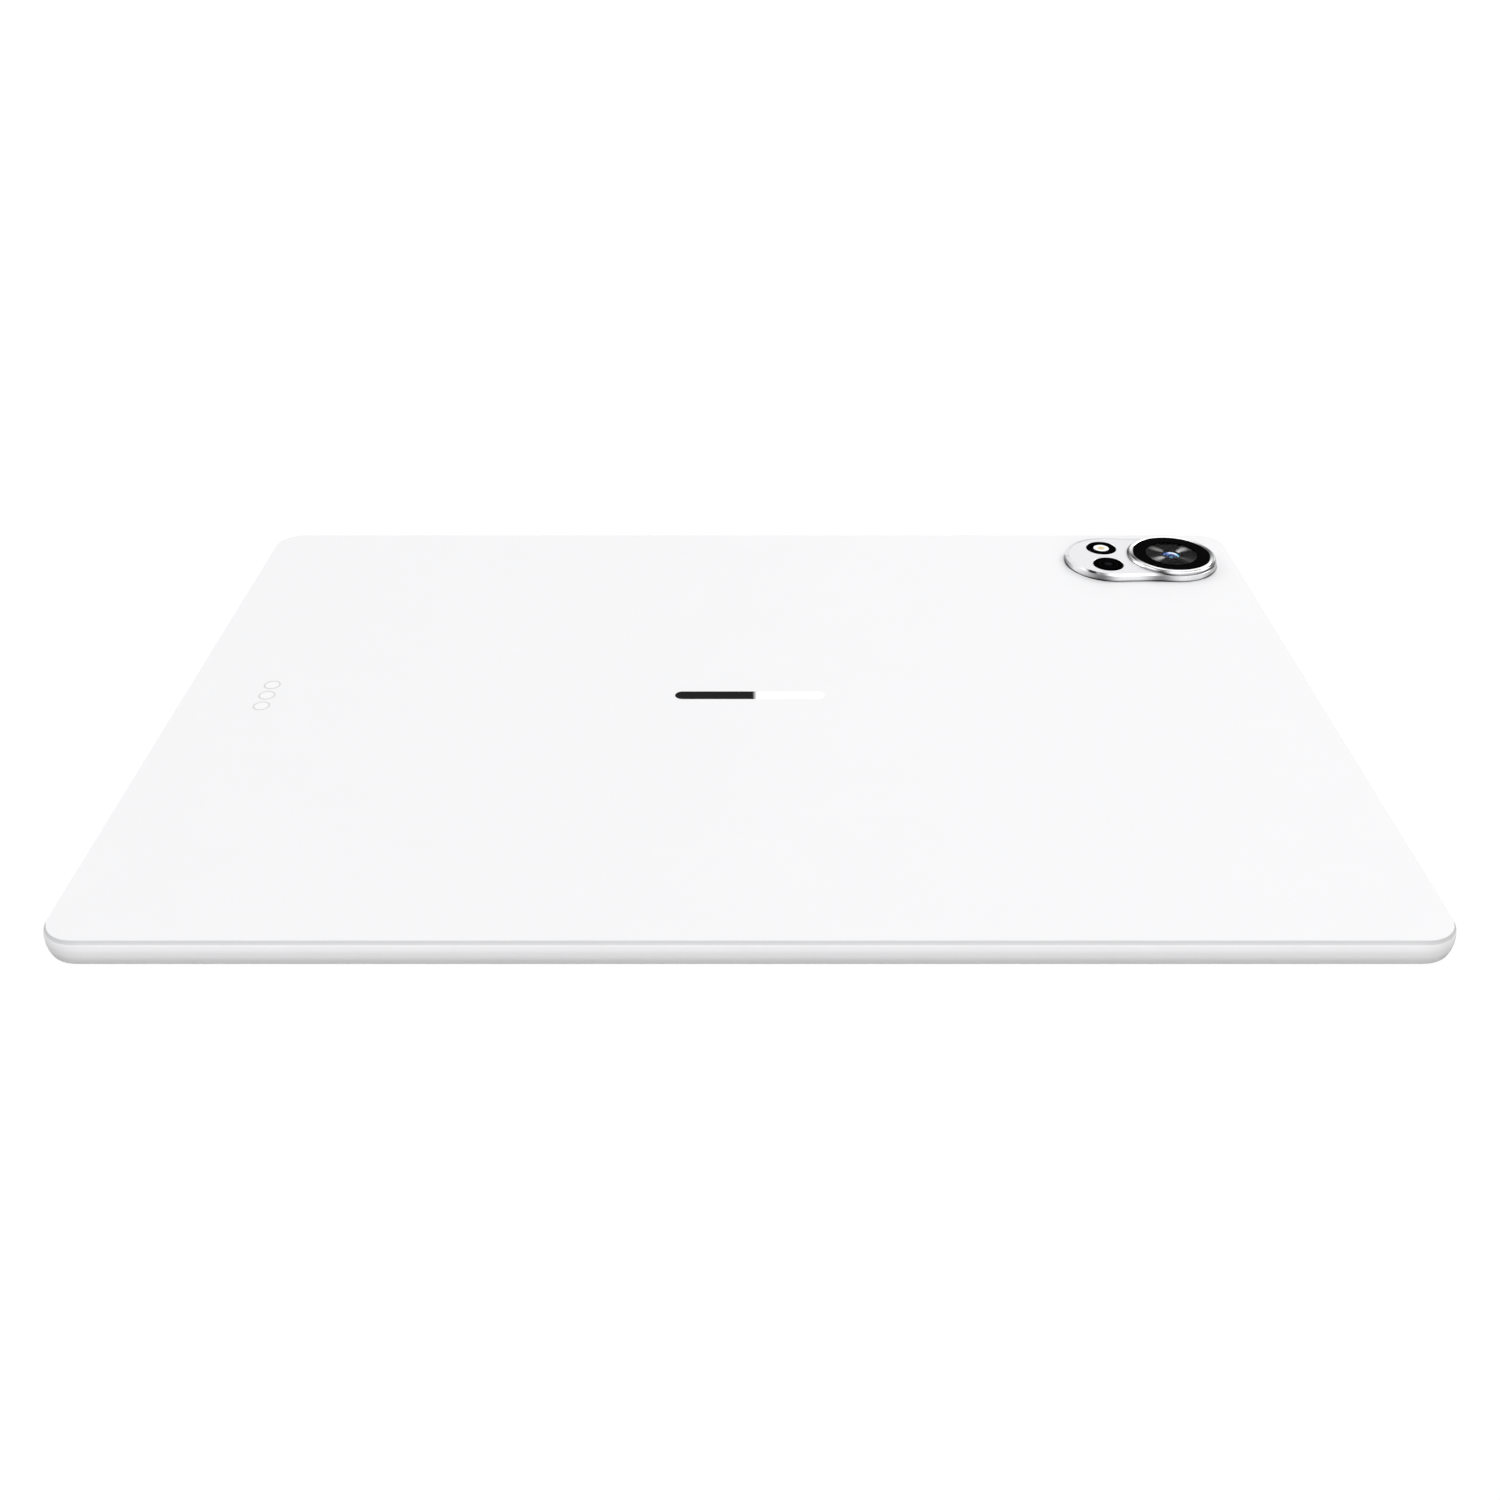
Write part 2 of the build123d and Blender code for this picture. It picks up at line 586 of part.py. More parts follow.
# The barrel moves towards and away from the glass to focus, and carries the front element
with BuildPart() as main_lens_barrel:
    with BuildSketch(Plane.XY.offset(BARREL_BOTTOM)):
        with Locations(MAIN_CAMERA):
            Circle(BARREL_RADIUS)
    extrude(amount=CAN_TOP - BARREL_BOTTOM)
    with BuildSketch(Plane.XY.offset(CAN_TOP)):
        with Locations(MAIN_CAMERA):
            Circle(NOSE_RADIUS)
    extrude(amount=NOSE_TOP - CAN_TOP)
    with Locations((*MAIN_CAMERA, NOSE_TOP)):
        Hole(radius=ELEMENT_RADIUS + 0.02, depth=ELEMENT_THICKNESS)
    with Locations((*MAIN_CAMERA, BARREL_BOTTOM)):
        Cylinder(
            BARREL_RADIUS - 0.9,
            1.5,
            align=(Align.CENTER, Align.CENTER, Align.MIN),
            mode=Mode.SUBTRACT,
        )
save(main_lens_barrel, "main_lens_barrel")

with BuildPart() as main_lens_element:
    element_rim = (ELEMENT_RADIUS, NOSE_TOP - ELEMENT_DOME)
    with BuildSketch(MAIN_SECTION):
        with BuildLine():
            Polyline(
                (0, NOSE_TOP),
                (0, NOSE_TOP - ELEMENT_THICKNESS),
                (ELEMENT_RADIUS, NOSE_TOP - ELEMENT_THICKNESS),
                element_rim,
            )
            TangentArc((0, NOSE_TOP), element_rim, tangent=(1, 0))
        make_face()
    revolve(axis=MAIN_AXIS)
save(main_lens_element, "main_lens_element")

with BuildPart() as main_camera_housing:
    with BuildSketch(Plane.XY.offset(CAN_BOTTOM)):
        with Locations(MAIN_CAMERA):
            RectangleRounded(CAN_SIDE, CAN_SIDE, 0.8)
    extrude(amount=CAN_TOP - CAN_BOTTOM)
    with Locations((*MAIN_CAMERA, CAN_TOP)):
        Hole(radius=BARREL_RADIUS + 0.1)
    with BuildSketch(Plane.XY.offset(CAN_BOTTOM)):
        with Locations(MAIN_CAMERA):
            Rectangle(CAN_SIDE - 2.0, CAN_SIDE - 2.0)
    extrude(amount=0.7, mode=Mode.SUBTRACT)
save(main_camera_housing, "main_camera_housing")

with BuildPart() as main_camera_board:
    with BuildSketch(Plane.XY.offset(CAN_BOTTOM - 0.3)):
        with Locations(MAIN_CAMERA):
            RectangleRounded(CAN_SIDE + 2.0, CAN_SIDE + 2.0, 0.8)
    extrude(amount=0.3)
    with BuildSketch(Plane.XY.offset(CAN_BOTTOM)):
        with Locations(MAIN_CAMERA):
            Rectangle(5.6, 4.6)
    extrude(amount=0.5)
    with BuildSketch(Plane.XZ.offset(-ISLAND_Y - 4)):
        with BuildLine():
            FilletPolyline(
                (LOBE_RIGHT_X - 5, CAN_BOTTOM - 0.15),
                (104, CAN_BOTTOM - 0.15),
                (93, MAIN_BOARD_Z[0] - FLEX_THICKNESS / 2),
                (78, MAIN_BOARD_Z[0] - FLEX_THICKNESS / 2),
                radius=15.0,
            )
        trace(line_width=FLEX_THICKNESS)
    extrude(amount=5)
save(main_camera_board, "main_camera_board")

with BuildPart() as second_lens_glass:
    with BuildSketch(Plane.XY.offset(SMALL_LENS_BOTTOM)):
        with Locations(SECOND_CAMERA):
            Circle(SMALL_LENS_RADIUS)
    extrude(amount=SMALL_LENS_TOP - SMALL_LENS_BOTTOM)
    chamfer(second_lens_glass.edges().group_by(Axis.Z)[-1], length=0.1)
save(second_lens_glass, "second_lens_glass")

with BuildPart() as second_camera_module:
    with BuildSketch(Plane.XY.offset(SECOND_CAN_BOTTOM)):
        with Locations(SECOND_CAMERA):
            RectangleRounded(SECOND_CAN_SIDE, SECOND_CAN_SIDE, 0.6)
    extrude(amount=SECOND_CAN_TOP - SECOND_CAN_BOTTOM)
    with BuildSketch(Plane.XY.offset(SECOND_CAN_TOP)):
        with Locations(SECOND_CAMERA):
            Circle(SECOND_NOSE_RADIUS)
    extrude(amount=SECOND_NOSE_TOP - SECOND_CAN_TOP)
    with Locations((*SECOND_CAMERA, SECOND_NOSE_TOP)):
        CounterSinkHole(radius=0.9, counter_sink_radius=1.5, depth=0.8)
    with BuildSketch(Plane.XZ.offset(-SECOND_CAMERA[1] - 1.5)):
        with BuildLine():
            Line(
                (SECOND_CAMERA[0] - 3, MAIN_BOARD_Z[0] - FLEX_THICKNESS / 2),
                (76, MAIN_BOARD_Z[0] - FLEX_THICKNESS / 2),
            )
        trace(line_width=FLEX_THICKNESS)
    extrude(amount=3.0)
save(second_camera_module, "second_camera_module")

with BuildPart() as flash_trim:
    with BuildSketch(Plane.XY.offset(SMALL_LENS_BOTTOM)):
        with Locations(FLASH):
            Circle(SMALL_LENS_RADIUS)
    extrude(amount=SMALL_LENS_TOP - SMALL_LENS_BOTTOM)
    chamfer(flash_trim.edges().group_by(Axis.Z)[-1], length=0.1)
    with Locations((*FLASH, SMALL_LENS_TOP)):
        Hole(radius=FLASH_LENS_RADIUS + 0.03)
save(flash_trim, "flash_trim")

with BuildPart() as flash_lens:
    with BuildSketch(Plane.XY.offset(SMALL_LENS_BOTTOM)):
        with Locations(FLASH):
            Circle(FLASH_LENS_RADIUS)
    extrude(amount=FLASH_LENS_HEIGHT)
    fillet(flash_lens.edges().group_by(Axis.Z)[-1], radius=0.15)
save(flash_lens, "flash_lens")

with BuildPart() as flash_led:
    with BuildSketch(Plane.XY.offset(BRACKET_Z[1])):
        with Locations(FLASH):
            Circle(FLASH_BASE_RADIUS)
    extrude(amount=FLASH_BASE_HEIGHT)
    with BuildSketch(Plane.XY.offset(BRACKET_Z[1] + FLASH_BASE_HEIGHT)):
        with Locations(FLASH):
            Rectangle(1.6, 1.6)
    extrude(amount=0.4)
save(flash_led, "flash_led")

with BuildPart() as rear_camera_bracket:
    with BuildSketch(Plane.XY.offset(BRACKET_Z[0])):
        with Locations((104.4, 72.85)):
            RectangleRounded(39.6, 20.7, 1.0)
        for x, y in CAMERA_SCREWS[2:]:
            with Locations((x, (y + ISLAND_Y) / 2)):
                RectangleRounded(3.8, abs(y - ISLAND_Y) + 3.8, 1.0)
        with Locations(MAIN_CAMERA):
            Rectangle(CAN_SIDE + 0.4, CAN_SIDE + 0.4, mode=Mode.SUBTRACT)
        with Locations(SECOND_CAMERA):
            Rectangle(SECOND_CAN_SIDE + 0.4, SECOND_CAN_SIDE + 0.4, mode=Mode.SUBTRACT)
        with Locations(*CAMERA_SCREWS):
            Circle(BRACKET_SCREW_RADIUS + SCREW_HOLE_GAP, mode=Mode.SUBTRACT)
    extrude(amount=BRACKET_Z[1] - BRACKET_Z[0])
save(rear_camera_bracket, "rear_camera_bracket")

# ---------------------------------------------------------------- front sensors
FRONT_CAMERA_Y = HALF_WIDTH - 4.95

with BuildPart() as front_camera_module:
    with BuildSketch(Plane.XY.offset(GLASS_THICKNESS)):
        with Locations((0, FRONT_CAMERA_Y)):
            Circle(1.5)
    extrude(amount=0.8)
    with BuildSketch(Plane.XY.offset(GLASS_THICKNESS + 0.8)):
        with Locations((0, FRONT_CAMERA_Y)):
            RectangleRounded(7.0, 3.2, 0.4)
    extrude(amount=2.6)
    with BuildSketch(Plane.XY.offset(MAIN_BOARD_Z[0] - FLEX_THICKNESS)):
        with Locations((0, FRONT_CAMERA_Y - 3)):
            Rectangle(4, 6)
    extrude(amount=FLEX_THICKNESS)
    with BuildSketch(Plane.XY.offset(GLASS_THICKNESS)):
        with Locations((0, FRONT_CAMERA_Y)):
            Circle(0.8)
    extrude(amount=0.5, mode=Mode.SUBTRACT)
save(front_camera_module, "front_camera_module")

save(
    blocks([(around(12.0, 3.0), around(87.4, 1.3), (GLASS_THICKNESS, 1.4))]),
    "light_sensor",
)

# ---------------------------------------------------------------- keys
POWER_FLANGE_X = HALF_LENGTH - KEY_WALL - POWER_FLANGE_GAP
POWER_NUB_X = POWER_FLANGE_X - FLANGE_THICKNESS - NUB_LENGTH
POWER_SWITCH_X = POWER_NUB_X - DOME_GAP - DOME_HEIGHT
VOLUME_FLANGE_Y = HALF_WIDTH - KEY_WALL - VOLUME_FLANGE_GAP
VOLUME_NUB_Y = VOLUME_FLANGE_Y - FLANGE_THICKNESS - NUB_LENGTH
VOLUME_SWITCH_Y = VOLUME_NUB_Y - DOME_GAP - DOME_HEIGHT
PIVOT_Y = HALF_WIDTH - PIVOT_DEPTH

with BuildPart() as power_button:
    with BuildSketch(Plane.YZ.offset(POWER_FLANGE_X)):
        with Locations((POWER_KEY_Y, SIDE_AXIS_HEIGHT)):
            SlotOverall(POWER_KEY_LENGTH, KEY_HEIGHT)
    extrude(amount=HALF_LENGTH + KEY_PROUD - POWER_FLANGE_X)
    fillet(power_button.edges().group_by(Axis.X)[-1], radius=0.2)
    with BuildSketch(Plane.YZ.offset(POWER_FLANGE_X - FLANGE_THICKNESS)):
        with Locations((POWER_KEY_Y, SIDE_AXIS_HEIGHT)):
            RectangleRounded(POWER_KEY_LENGTH + 2 * FLANGE_OVERHANG, FLANGE_HEIGHT, 0.4)
    extrude(amount=FLANGE_THICKNESS)
    with BuildSketch(Plane.YZ.offset(POWER_NUB_X)):
        with Locations((POWER_KEY_Y, SIDE_AXIS_HEIGHT)):
            Circle(NUB_RADIUS)
    extrude(amount=NUB_LENGTH)
save(power_button, "power_button")

with BuildPart() as volume_rocker:
    with BuildSketch(Plane.XZ.offset(-VOLUME_FLANGE_Y)):
        with Locations((VOLUME_KEY_X, SIDE_AXIS_HEIGHT)):
            SlotOverall(VOLUME_KEY_LENGTH, KEY_HEIGHT)
    extrude(amount=-(HALF_WIDTH + KEY_PROUD - VOLUME_FLANGE_Y))
    fillet(volume_rocker.edges().group_by(Axis.Y)[-1], radius=0.2)
    with BuildSketch(Plane.XZ.offset(-VOLUME_FLANGE_Y)):
        with Locations((VOLUME_KEY_X, SIDE_AXIS_HEIGHT)):
            RectangleRounded(VOLUME_KEY_LENGTH + 2 * FLANGE_OVERHANG, FLANGE_HEIGHT, 0.4)
    extrude(amount=FLANGE_THICKNESS)
    with BuildSketch(Plane.XZ.offset(-VOLUME_FLANGE_Y + FLANGE_THICKNESS)):
        with Locations((VOLUME_KEY_X, SIDE_AXIS_HEIGHT)):
            with GridLocations(2 * VOLUME_SWITCH_OFFSET, 1, 2, 1):
                Circle(NUB_RADIUS)
    extrude(amount=NUB_LENGTH)
    # The rib under the middle is the fulcrum
    with BuildSketch(Plane.XY.offset(SIDE_AXIS_HEIGHT - KEY_HEIGHT / 2)):
        with Locations((VOLUME_KEY_X, PIVOT_Y)):
            Circle(PIVOT_RADIUS)
            Rectangle(2 * PIVOT_RADIUS, 0.5, align=(Align.CENTER, Align.MIN))
    extrude(amount=KEY_HEIGHT)
save(volume_rocker, "volume_rocker")


def tactile_switch(key_plane, places):
    """The switch bodies on a key's bracket, one at each place along the edge."""
    with BuildPart() as switch:
        with BuildSketch(key_plane):
            with Locations(*[(place, SIDE_AXIS_HEIGHT) for place in places]):
                RectangleRounded(SWITCH_LENGTH, SWITCH_HEIGHT, 0.3)
        extrude(amount=SWITCH_DEPTH)
    return switch


def tactile_dome(key_plane, places):
    """The snap domes that the key's nubs press on."""
    with BuildPart() as dome:
        with BuildSketch(key_plane):
            with Locations(*[(place, SIDE_AXIS_HEIGHT) for place in places]):
                Circle(1.1)
        extrude(amount=DOME_HEIGHT, taper=45)
    return dome


VOLUME_PLACES = [VOLUME_KEY_X - VOLUME_SWITCH_OFFSET, VOLUME_KEY_X + VOLUME_SWITCH_OFFSET]
power_switch_plane = Plane.YZ.offset(POWER_SWITCH_X - SWITCH_DEPTH)
volume_switch_plane = Plane(
    origin=(0, VOLUME_SWITCH_Y - SWITCH_DEPTH, 0), x_dir=(-1, 0, 0), z_dir=(0, 1, 0)
)
MIRRORED_PLACES = [-place for place in VOLUME_PLACES]
save(tactile_switch(power_switch_plane, [POWER_KEY_Y]), "power_switch")
save(tactile_switch(volume_switch_plane, MIRRORED_PLACES), "volume_switches")
save(
    tactile_dome(power_switch_plane.offset(SWITCH_DEPTH), [POWER_KEY_Y]),
    "power_switch_dome",
)
save(
    tactile_dome(volume_switch_plane.offset(SWITCH_DEPTH), MIRRORED_PLACES),
    "volume_switch_domes",
)

with BuildPart() as button_brackets:
    power_back_x = POWER_SWITCH_X - SWITCH_DEPTH
    volume_back_y = VOLUME_SWITCH_Y - SWITCH_DEPTH
    upright_z = (KEY_BRACKET_BOTTOM, BRACKET_Z[1])
    power_tab = ((127.2, power_back_x), around(POWER_KEY_Y, 18.0))
    volume_tab = (around(VOLUME_KEY_X, 32.0), (84.0, volume_back_y))
    for (x_limits, y_limits), z_limits in (
        (power_tab, BRACKET_Z),
        (((power_back_x - KEY_BRACKET_SHEET, power_back_x), power_tab[1]), upright_z),
        (volume_tab, BRACKET_Z),
        ((volume_tab[0], (volume_back_y - KEY_BRACKET_SHEET, volume_back_y)), upright_z),
        ((around(VOLUME_KEY_X, 3.0), (volume_back_y, PIVOT_Y)), upright_z),
    ):
        with BuildSketch(Plane.XY.offset(z_limits[0])):
            with Locations((sum(x_limits) / 2, sum(y_limits) / 2)):
                Rectangle(x_limits[1] - x_limits[0], y_limits[1] - y_limits[0])
        extrude(amount=z_limits[1] - z_limits[0])
    with BuildSketch(Plane.XY.offset(KEY_BRACKET_BOTTOM)):
        with Locations((VOLUME_KEY_X, PIVOT_Y)):
            Circle(PIVOT_RADIUS + 0.1)
    extrude(amount=3.0, mode=Mode.SUBTRACT)
    with BuildSketch(Plane.XY.offset(BRACKET_Z[0])):
        with Locations(*POWER_SCREWS, *VOLUME_SCREWS):
            Circle(BRACKET_SCREW_RADIUS + SCREW_HOLE_GAP)
    extrude(amount=1.0, mode=Mode.SUBTRACT)
save(button_brackets, "button_brackets")

# ---------------------------------------------------------------- USB-C receptacle
with BuildPart() as usb_c_shell:
    with BuildSketch(Plane.YZ.offset(USB_MOUTH_X)):
        with Locations((0, SIDE_AXIS_HEIGHT)):
            SlotOverall(USB_WIDTH, USB_HEIGHT)
            SlotOverall(
                USB_WIDTH - 2 * USB_WALL, USB_HEIGHT - 2 * USB_WALL, mode=Mode.SUBTRACT
            )
    extrude(amount=USB_REAR_X - USB_MOUTH_X)
save(usb_c_shell, "usb_c_shell")

with BuildPart() as usb_c_tongue:
    with BuildSketch(Plane.YZ.offset(TONGUE_BASE_X)):
        with Locations((0, SIDE_AXIS_HEIGHT)):
            SlotOverall(USB_WIDTH - 2 * USB_WALL - 0.02, USB_HEIGHT - 2 * USB_WALL - 0.02)
    extrude(amount=USB_REAR_X - TONGUE_BASE_X)
    with BuildSketch(Plane.YZ.offset(TONGUE_X)):
        with Locations((0, SIDE_AXIS_HEIGHT)):
            RectangleRounded(TONGUE_WIDTH, TONGUE_THICKNESS, 0.2)
    extrude(amount=TONGUE_BASE_X - TONGUE_X)
save(usb_c_tongue, "usb_c_tongue")

with BuildPart() as usb_board:
    with BuildSketch(Plane.XY.offset(USB_BOARD_Z[0])):
        with Locations((sum(USB_BOARD_X) / 2, 0)):
            RectangleRounded(USB_BOARD_X[1] - USB_BOARD_X[0], 2 * USB_BOARD_HALF_WIDTH, 1.0)
        with Locations((USB_REAR_X - 5, 0)):
            Rectangle(10.04, USB_WIDTH + 0.04, mode=Mode.SUBTRACT)
        with Locations(*USB_SCREWS):
            Circle(BOARD_SCREW_RADIUS + SCREW_HOLE_GAP, mode=Mode.SUBTRACT)
    extrude(amount=USB_BOARD_Z[1] - USB_BOARD_Z[0])
save(usb_board, "usb_board")

# ---------------------------------------------------------------- main board
with BuildPart() as main_board:
    with BuildSketch(Plane.XY.offset(MAIN_BOARD_Z[0])):
        with Locations((sum(MAIN_BOARD_X) / 2, sum(MAIN_BOARD_Y) / 2)):
            RectangleRounded(
                MAIN_BOARD_X[1] - MAIN_BOARD_X[0], MAIN_BOARD_Y[1] - MAIN_BOARD_Y[0], 1.5
            )
        with Locations(*BOARD_SCREWS):
            Circle(BOARD_SCREW_RADIUS + SCREW_HOLE_GAP, mode=Mode.SUBTRACT)
    extrude(amount=MAIN_BOARD_Z[1] - MAIN_BOARD_Z[0])
save(main_board, "main_board")

SHIELDS = {
    "radio_shield": ((-56.0, -38.0), (57.0, 77.0)),
    "processor_shield": ((-34.0, -8.0), (56.0, 80.0)),
    "power_shield": ((18.0, 50.0), (56.0, 80.0)),
}
for shield_name, (x_limits, y_limits) in SHIELDS.items():
    with BuildPart() as shield:
        with BuildSketch(Plane.XY.offset(SHIELD_Z[0])):
            with Locations((sum(x_limits) / 2, sum(y_limits) / 2)):
                RectangleRounded(x_limits[1] - x_limits[0], y_limits[1] - y_limits[0], 1.0)
        extrude(amount=SHIELD_Z[1] - SHIELD_Z[0])
        offset(
            amount=-SHIELD_SHEET,
            openings=shield.faces().sort_by(Axis.Z)[-1],
        )
    save(shield, shield_name)

# Chips: processor and memory, storage, radio, power management, audio
CHIPS = [
    (around(-21, 15), around(68, 15), (2.75, MAIN_BOARD_Z[0])),
    (around(-47, 9), around(68, 9), (2.8, MAIN_BOARD_Z[0])),
    (around(27, 7), around(68, 8), (2.8, MAIN_BOARD_Z[0])),
    (around(40, 11), around(70, 13), (2.75, MAIN_BOARD_Z[0])),
    (around(62, 6), around(62, 6), (2.9, MAIN_BOARD_Z[0])),
    (around(72, 4), around(66, 4), (2.9, MAIN_BOARD_Z[0])),
]
save(blocks(CHIPS), "board_chips")

# Connectors: display flex, cameras, battery flex, sub-board flex at both ends, aerials
MAIN_FLEX_Z = (MAIN_BOARD_Z[1], MAIN_BOARD_Z[1] + FLEX_THICKNESS)
CONNECTORS = [
    (around(4, 11), around(61.5, 3), (MAIN_BOARD_Z[0] - 0.19, MAIN_BOARD_Z[0])),
    ((-125.0, -121.0), (12.4, 15.6), (USB_BOARD_Z[1], MAIN_FLEX_Z[0])),
    (around(-60, 2.4), around(66, 2.4), (MAIN_BOARD_Z[1], 5.0)),
    (around(-60, 2.4), around(74, 2.4), (MAIN_BOARD_Z[1], 5.0)),
]
save(blocks(CONNECTORS), "board_connectors")

MAIN_FLEX = [
    ((-126.0, -120.0), (12.0, 22.6), MAIN_FLEX_Z),
    ((-126.0, -103.0), (22.6, 27.4), MAIN_FLEX_Z),
    ((-108.0, -103.0), (27.4, 62.0), MAIN_FLEX_Z),
    ((-103.0, -62.0), (57.0, 62.0), MAIN_FLEX_Z),
]
save(blocks(MAIN_FLEX), "main_sub_flex")

# ---------------------------------------------------------------- battery
for cell_name, cell_x in (
    ("battery_cell_left", mirrored(CELL_X)),
    ("battery_cell_right", CELL_X),
):
    cell = blocks([(cell_x, CELL_Y, CELL_Z)], 2.0)
    with cell:
        fillet(cell.faces().filter_by(Axis.Z).edges(), radius=0.5)
    save(cell, cell_name)

ADHESIVE_Z = (CELL_Z[1], BACK_INSIDE)
save(
    blocks(
        [
            (around(x, 20), (CELL_Y[0] + 6, CELL_Y[1] - 6), ADHESIVE_Z)
            for x in (-80, -28, 28, 80)
        ]
    ),
    "battery_adhesive",
)

# The two cells' tabs are soldered under the protection board
BATTERY_BOARD_Z = (3.7, MAIN_BOARD_Z[1])
TAB_Z = (BATTERY_BOARD_Z[0] - 0.15, BATTERY_BOARD_Z[0])
BATTERY_BOARD = [(around(0, 200), (23.5, 27.5), BATTERY_BOARD_Z)]
BATTERY_TABS = [
    (around(x, 5), (CELL_Y[1], 26.0), TAB_Z) for x in (-62, -46, 46, 62)
]
save(blocks(BATTERY_BOARD + BATTERY_TABS), "battery_board")
save(blocks([((62.0, 74.0), (24.0, 58.0), MAIN_FLEX_Z)]), "battery_flex")

# ---------------------------------------------------------------- sound
SPEAKER_X = (SPEAKER_INNER_X, SPEAKER_OUTER_X)
speakers = [
    (x_limits, around(y, SPEAKER_LENGTH), (2.4, 5.0))
    for x_limits in (mirrored(SPEAKER_X), SPEAKER_X)
    for y in (-SPEAKER_Y, SPEAKER_Y)
]
save(blocks(speakers, 1.2), "speaker_enclosures")

MESH_X = (SPEAKER_OUTER_X, HALF_LENGTH - SIDE_WALL)
meshes = [
    (x_limits, around(y, GRILLE_HOLES * GRILLE_PITCH + 1.0), (2.45, 4.1))
    for x_limits in (mirrored(MESH_X), MESH_X)
    for y in (-SPEAKER_Y, SPEAKER_Y)
]
save(blocks(meshes), "speaker_meshes")

microphones = [
    (around(x, 3.5), (HALF_WIDTH - SIDE_WALL - 1.6, HALF_WIDTH - SIDE_WALL), (2.5, 4.1))
    for x in (-MICROPHONE_X, MICROPHONE_X)
]
save(blocks(microphones), "microphones")

# ---------------------------------------------------------------- aerials
AERIAL_Z = (3.9, BACK_INSIDE)
AERIALS = [
    ((-130.0, -112.0), (70.0, 87.0), AERIAL_Z),
    ((-100.0, -80.0), (69.0, 86.0), AERIAL_Z),
]
save(blocks(AERIALS, 1.5), "wifi_antennas")

CABLE_RADIUS = 0.35
CABLE_Z = 4.7
CABLE_ROUTES = [
    [(-112, 74), (-107, 74), (-103, 65.5), (-70, 65.5), (-61.2, 66)],
    [(-80, 77), (-74, 77), (-69, 74), (-61.2, 74)],
]
with BuildPart() as antenna_cables:
    for route in CABLE_ROUTES:
        with BuildLine() as cable_path:
            FilletPolyline(*[(x, y, CABLE_Z) for x, y in route], radius=2.5)
        with BuildSketch(Plane(cable_path.line @ 0, z_dir=cable_path.line % 0)):
            Circle(CABLE_RADIUS)
        sweep(path=cable_path.wire())
save(antenna_cables, "antenna_cables")

# ---------------------------------------------------------------- magnets and charging
MAGNET_Z = (3.9, BACK_INSIDE)
STYLUS_Y = (86.3, HALF_WIDTH - SIDE_WALL)
STYLUS_Z = (2.6, 4.8)
cover_magnets = [
    (around(side * 109, 4), around(y, 20), MAGNET_Z)
    for side in (-1, 1)
    for y in (-74, -50, -26)
]
stylus_magnets = [(around(x, 6), STYLUS_Y, STYLUS_Z) for x in (-53, -23)]
save(blocks(cover_magnets + stylus_magnets), "cover_magnets")
save(blocks([(around(-38, 20), STYLUS_Y, STYLUS_Z)], 0.5), "stylus_charging_coil")

# ---------------------------------------------------------------- cover contacts
with BuildPart() as smart_connector_insulators:
    with BuildSketch(Plane.XY.offset(BACK_INSIDE)):
        with Locations((CONTACT_X, 0)):
            with GridLocations(1, CONTACT_PITCH, 1, 3):
                Circle(INSULATOR_RADIUS)
                Circle(CONTACT_RADIUS, mode=Mode.SUBTRACT)
    extrude(amount=BACK_WALL)
save(smart_connector_insulators, "smart_connector_insulators")

with BuildPart() as smart_connector_contacts:
    with BuildSketch(Plane.XY.offset(BACK_INSIDE)):
        with Locations((CONTACT_X, 0)):
            with GridLocations(1, CONTACT_PITCH, 1, 3):
                Circle(CONTACT_RADIUS)
    extrude(amount=BACK_WALL)
save(smart_connector_contacts, "smart_connector_contacts")

CONTACT_BOARD_BOTTOM = 4.7
with BuildPart() as smart_connector_board:
    with BuildSketch(Plane.XY.offset(CONTACT_BOARD_BOTTOM)):
        with Locations((CONTACT_X, 0)):
            RectangleRounded(7.0, 18.0, 1.0)
    extrude(amount=BACK_INSIDE - CONTACT_BOARD_BOTTOM)
    with BuildSketch(Plane.XZ.offset(-3)):
        with BuildLine():
            FilletPolyline(
                (-126, USB_BOARD_Z[1] + FLEX_THICKNESS / 2),
                (-121.5, USB_BOARD_Z[1] + FLEX_THICKNESS / 2),
                (-117, CONTACT_BOARD_BOTTOM - FLEX_THICKNESS / 2),
                (-112, CONTACT_BOARD_BOTTOM - FLEX_THICKNESS / 2),
                radius=5.0,
            )
        trace(line_width=FLEX_THICKNESS)
    extrude(amount=6)
save(smart_connector_board, "smart_connector_board")


# ---------------------------------------------------------------- screws
def screws(groups, head_radius, head_height, shank_radius):
    """Cross-head screws with their heads towards the screen, in groups of one length."""
    with BuildPart() as fasteners:
        for points, seat in groups:
            with BuildSketch(Plane.XY.offset(seat - head_height)):
                with Locations(*points):
                    Circle(head_radius)
            extrude(amount=head_height)
            with BuildSketch(Plane.XY.offset(seat)):
                with Locations(*points):
                    Circle(shank_radius)
            extrude(amount=SCREW_TIP_Z - seat)
            with BuildSketch(Plane.XY.offset(seat - head_height)):
                with Locations(*points):
                    Rectangle(head_radius * 1.2, head_radius * 0.25)
                    Rectangle(head_radius * 0.25, head_radius * 1.2)
            extrude(amount=head_height * 0.6, mode=Mode.SUBTRACT)
    return fasteners


board_screw_groups = [(BOARD_SCREWS, MAIN_BOARD_Z[0]), (USB_SCREWS, USB_BOARD_Z[0])]
save(screws(board_screw_groups, 1.3, 0.6, BOARD_SCREW_RADIUS), "board_screws")
bracket_screw_groups = [(BRACKET_SCREWS, BRACKET_Z[0])]
save(screws(bracket_screw_groups, 1.1, 0.5, BRACKET_SCREW_RADIUS), "bracket_screws")
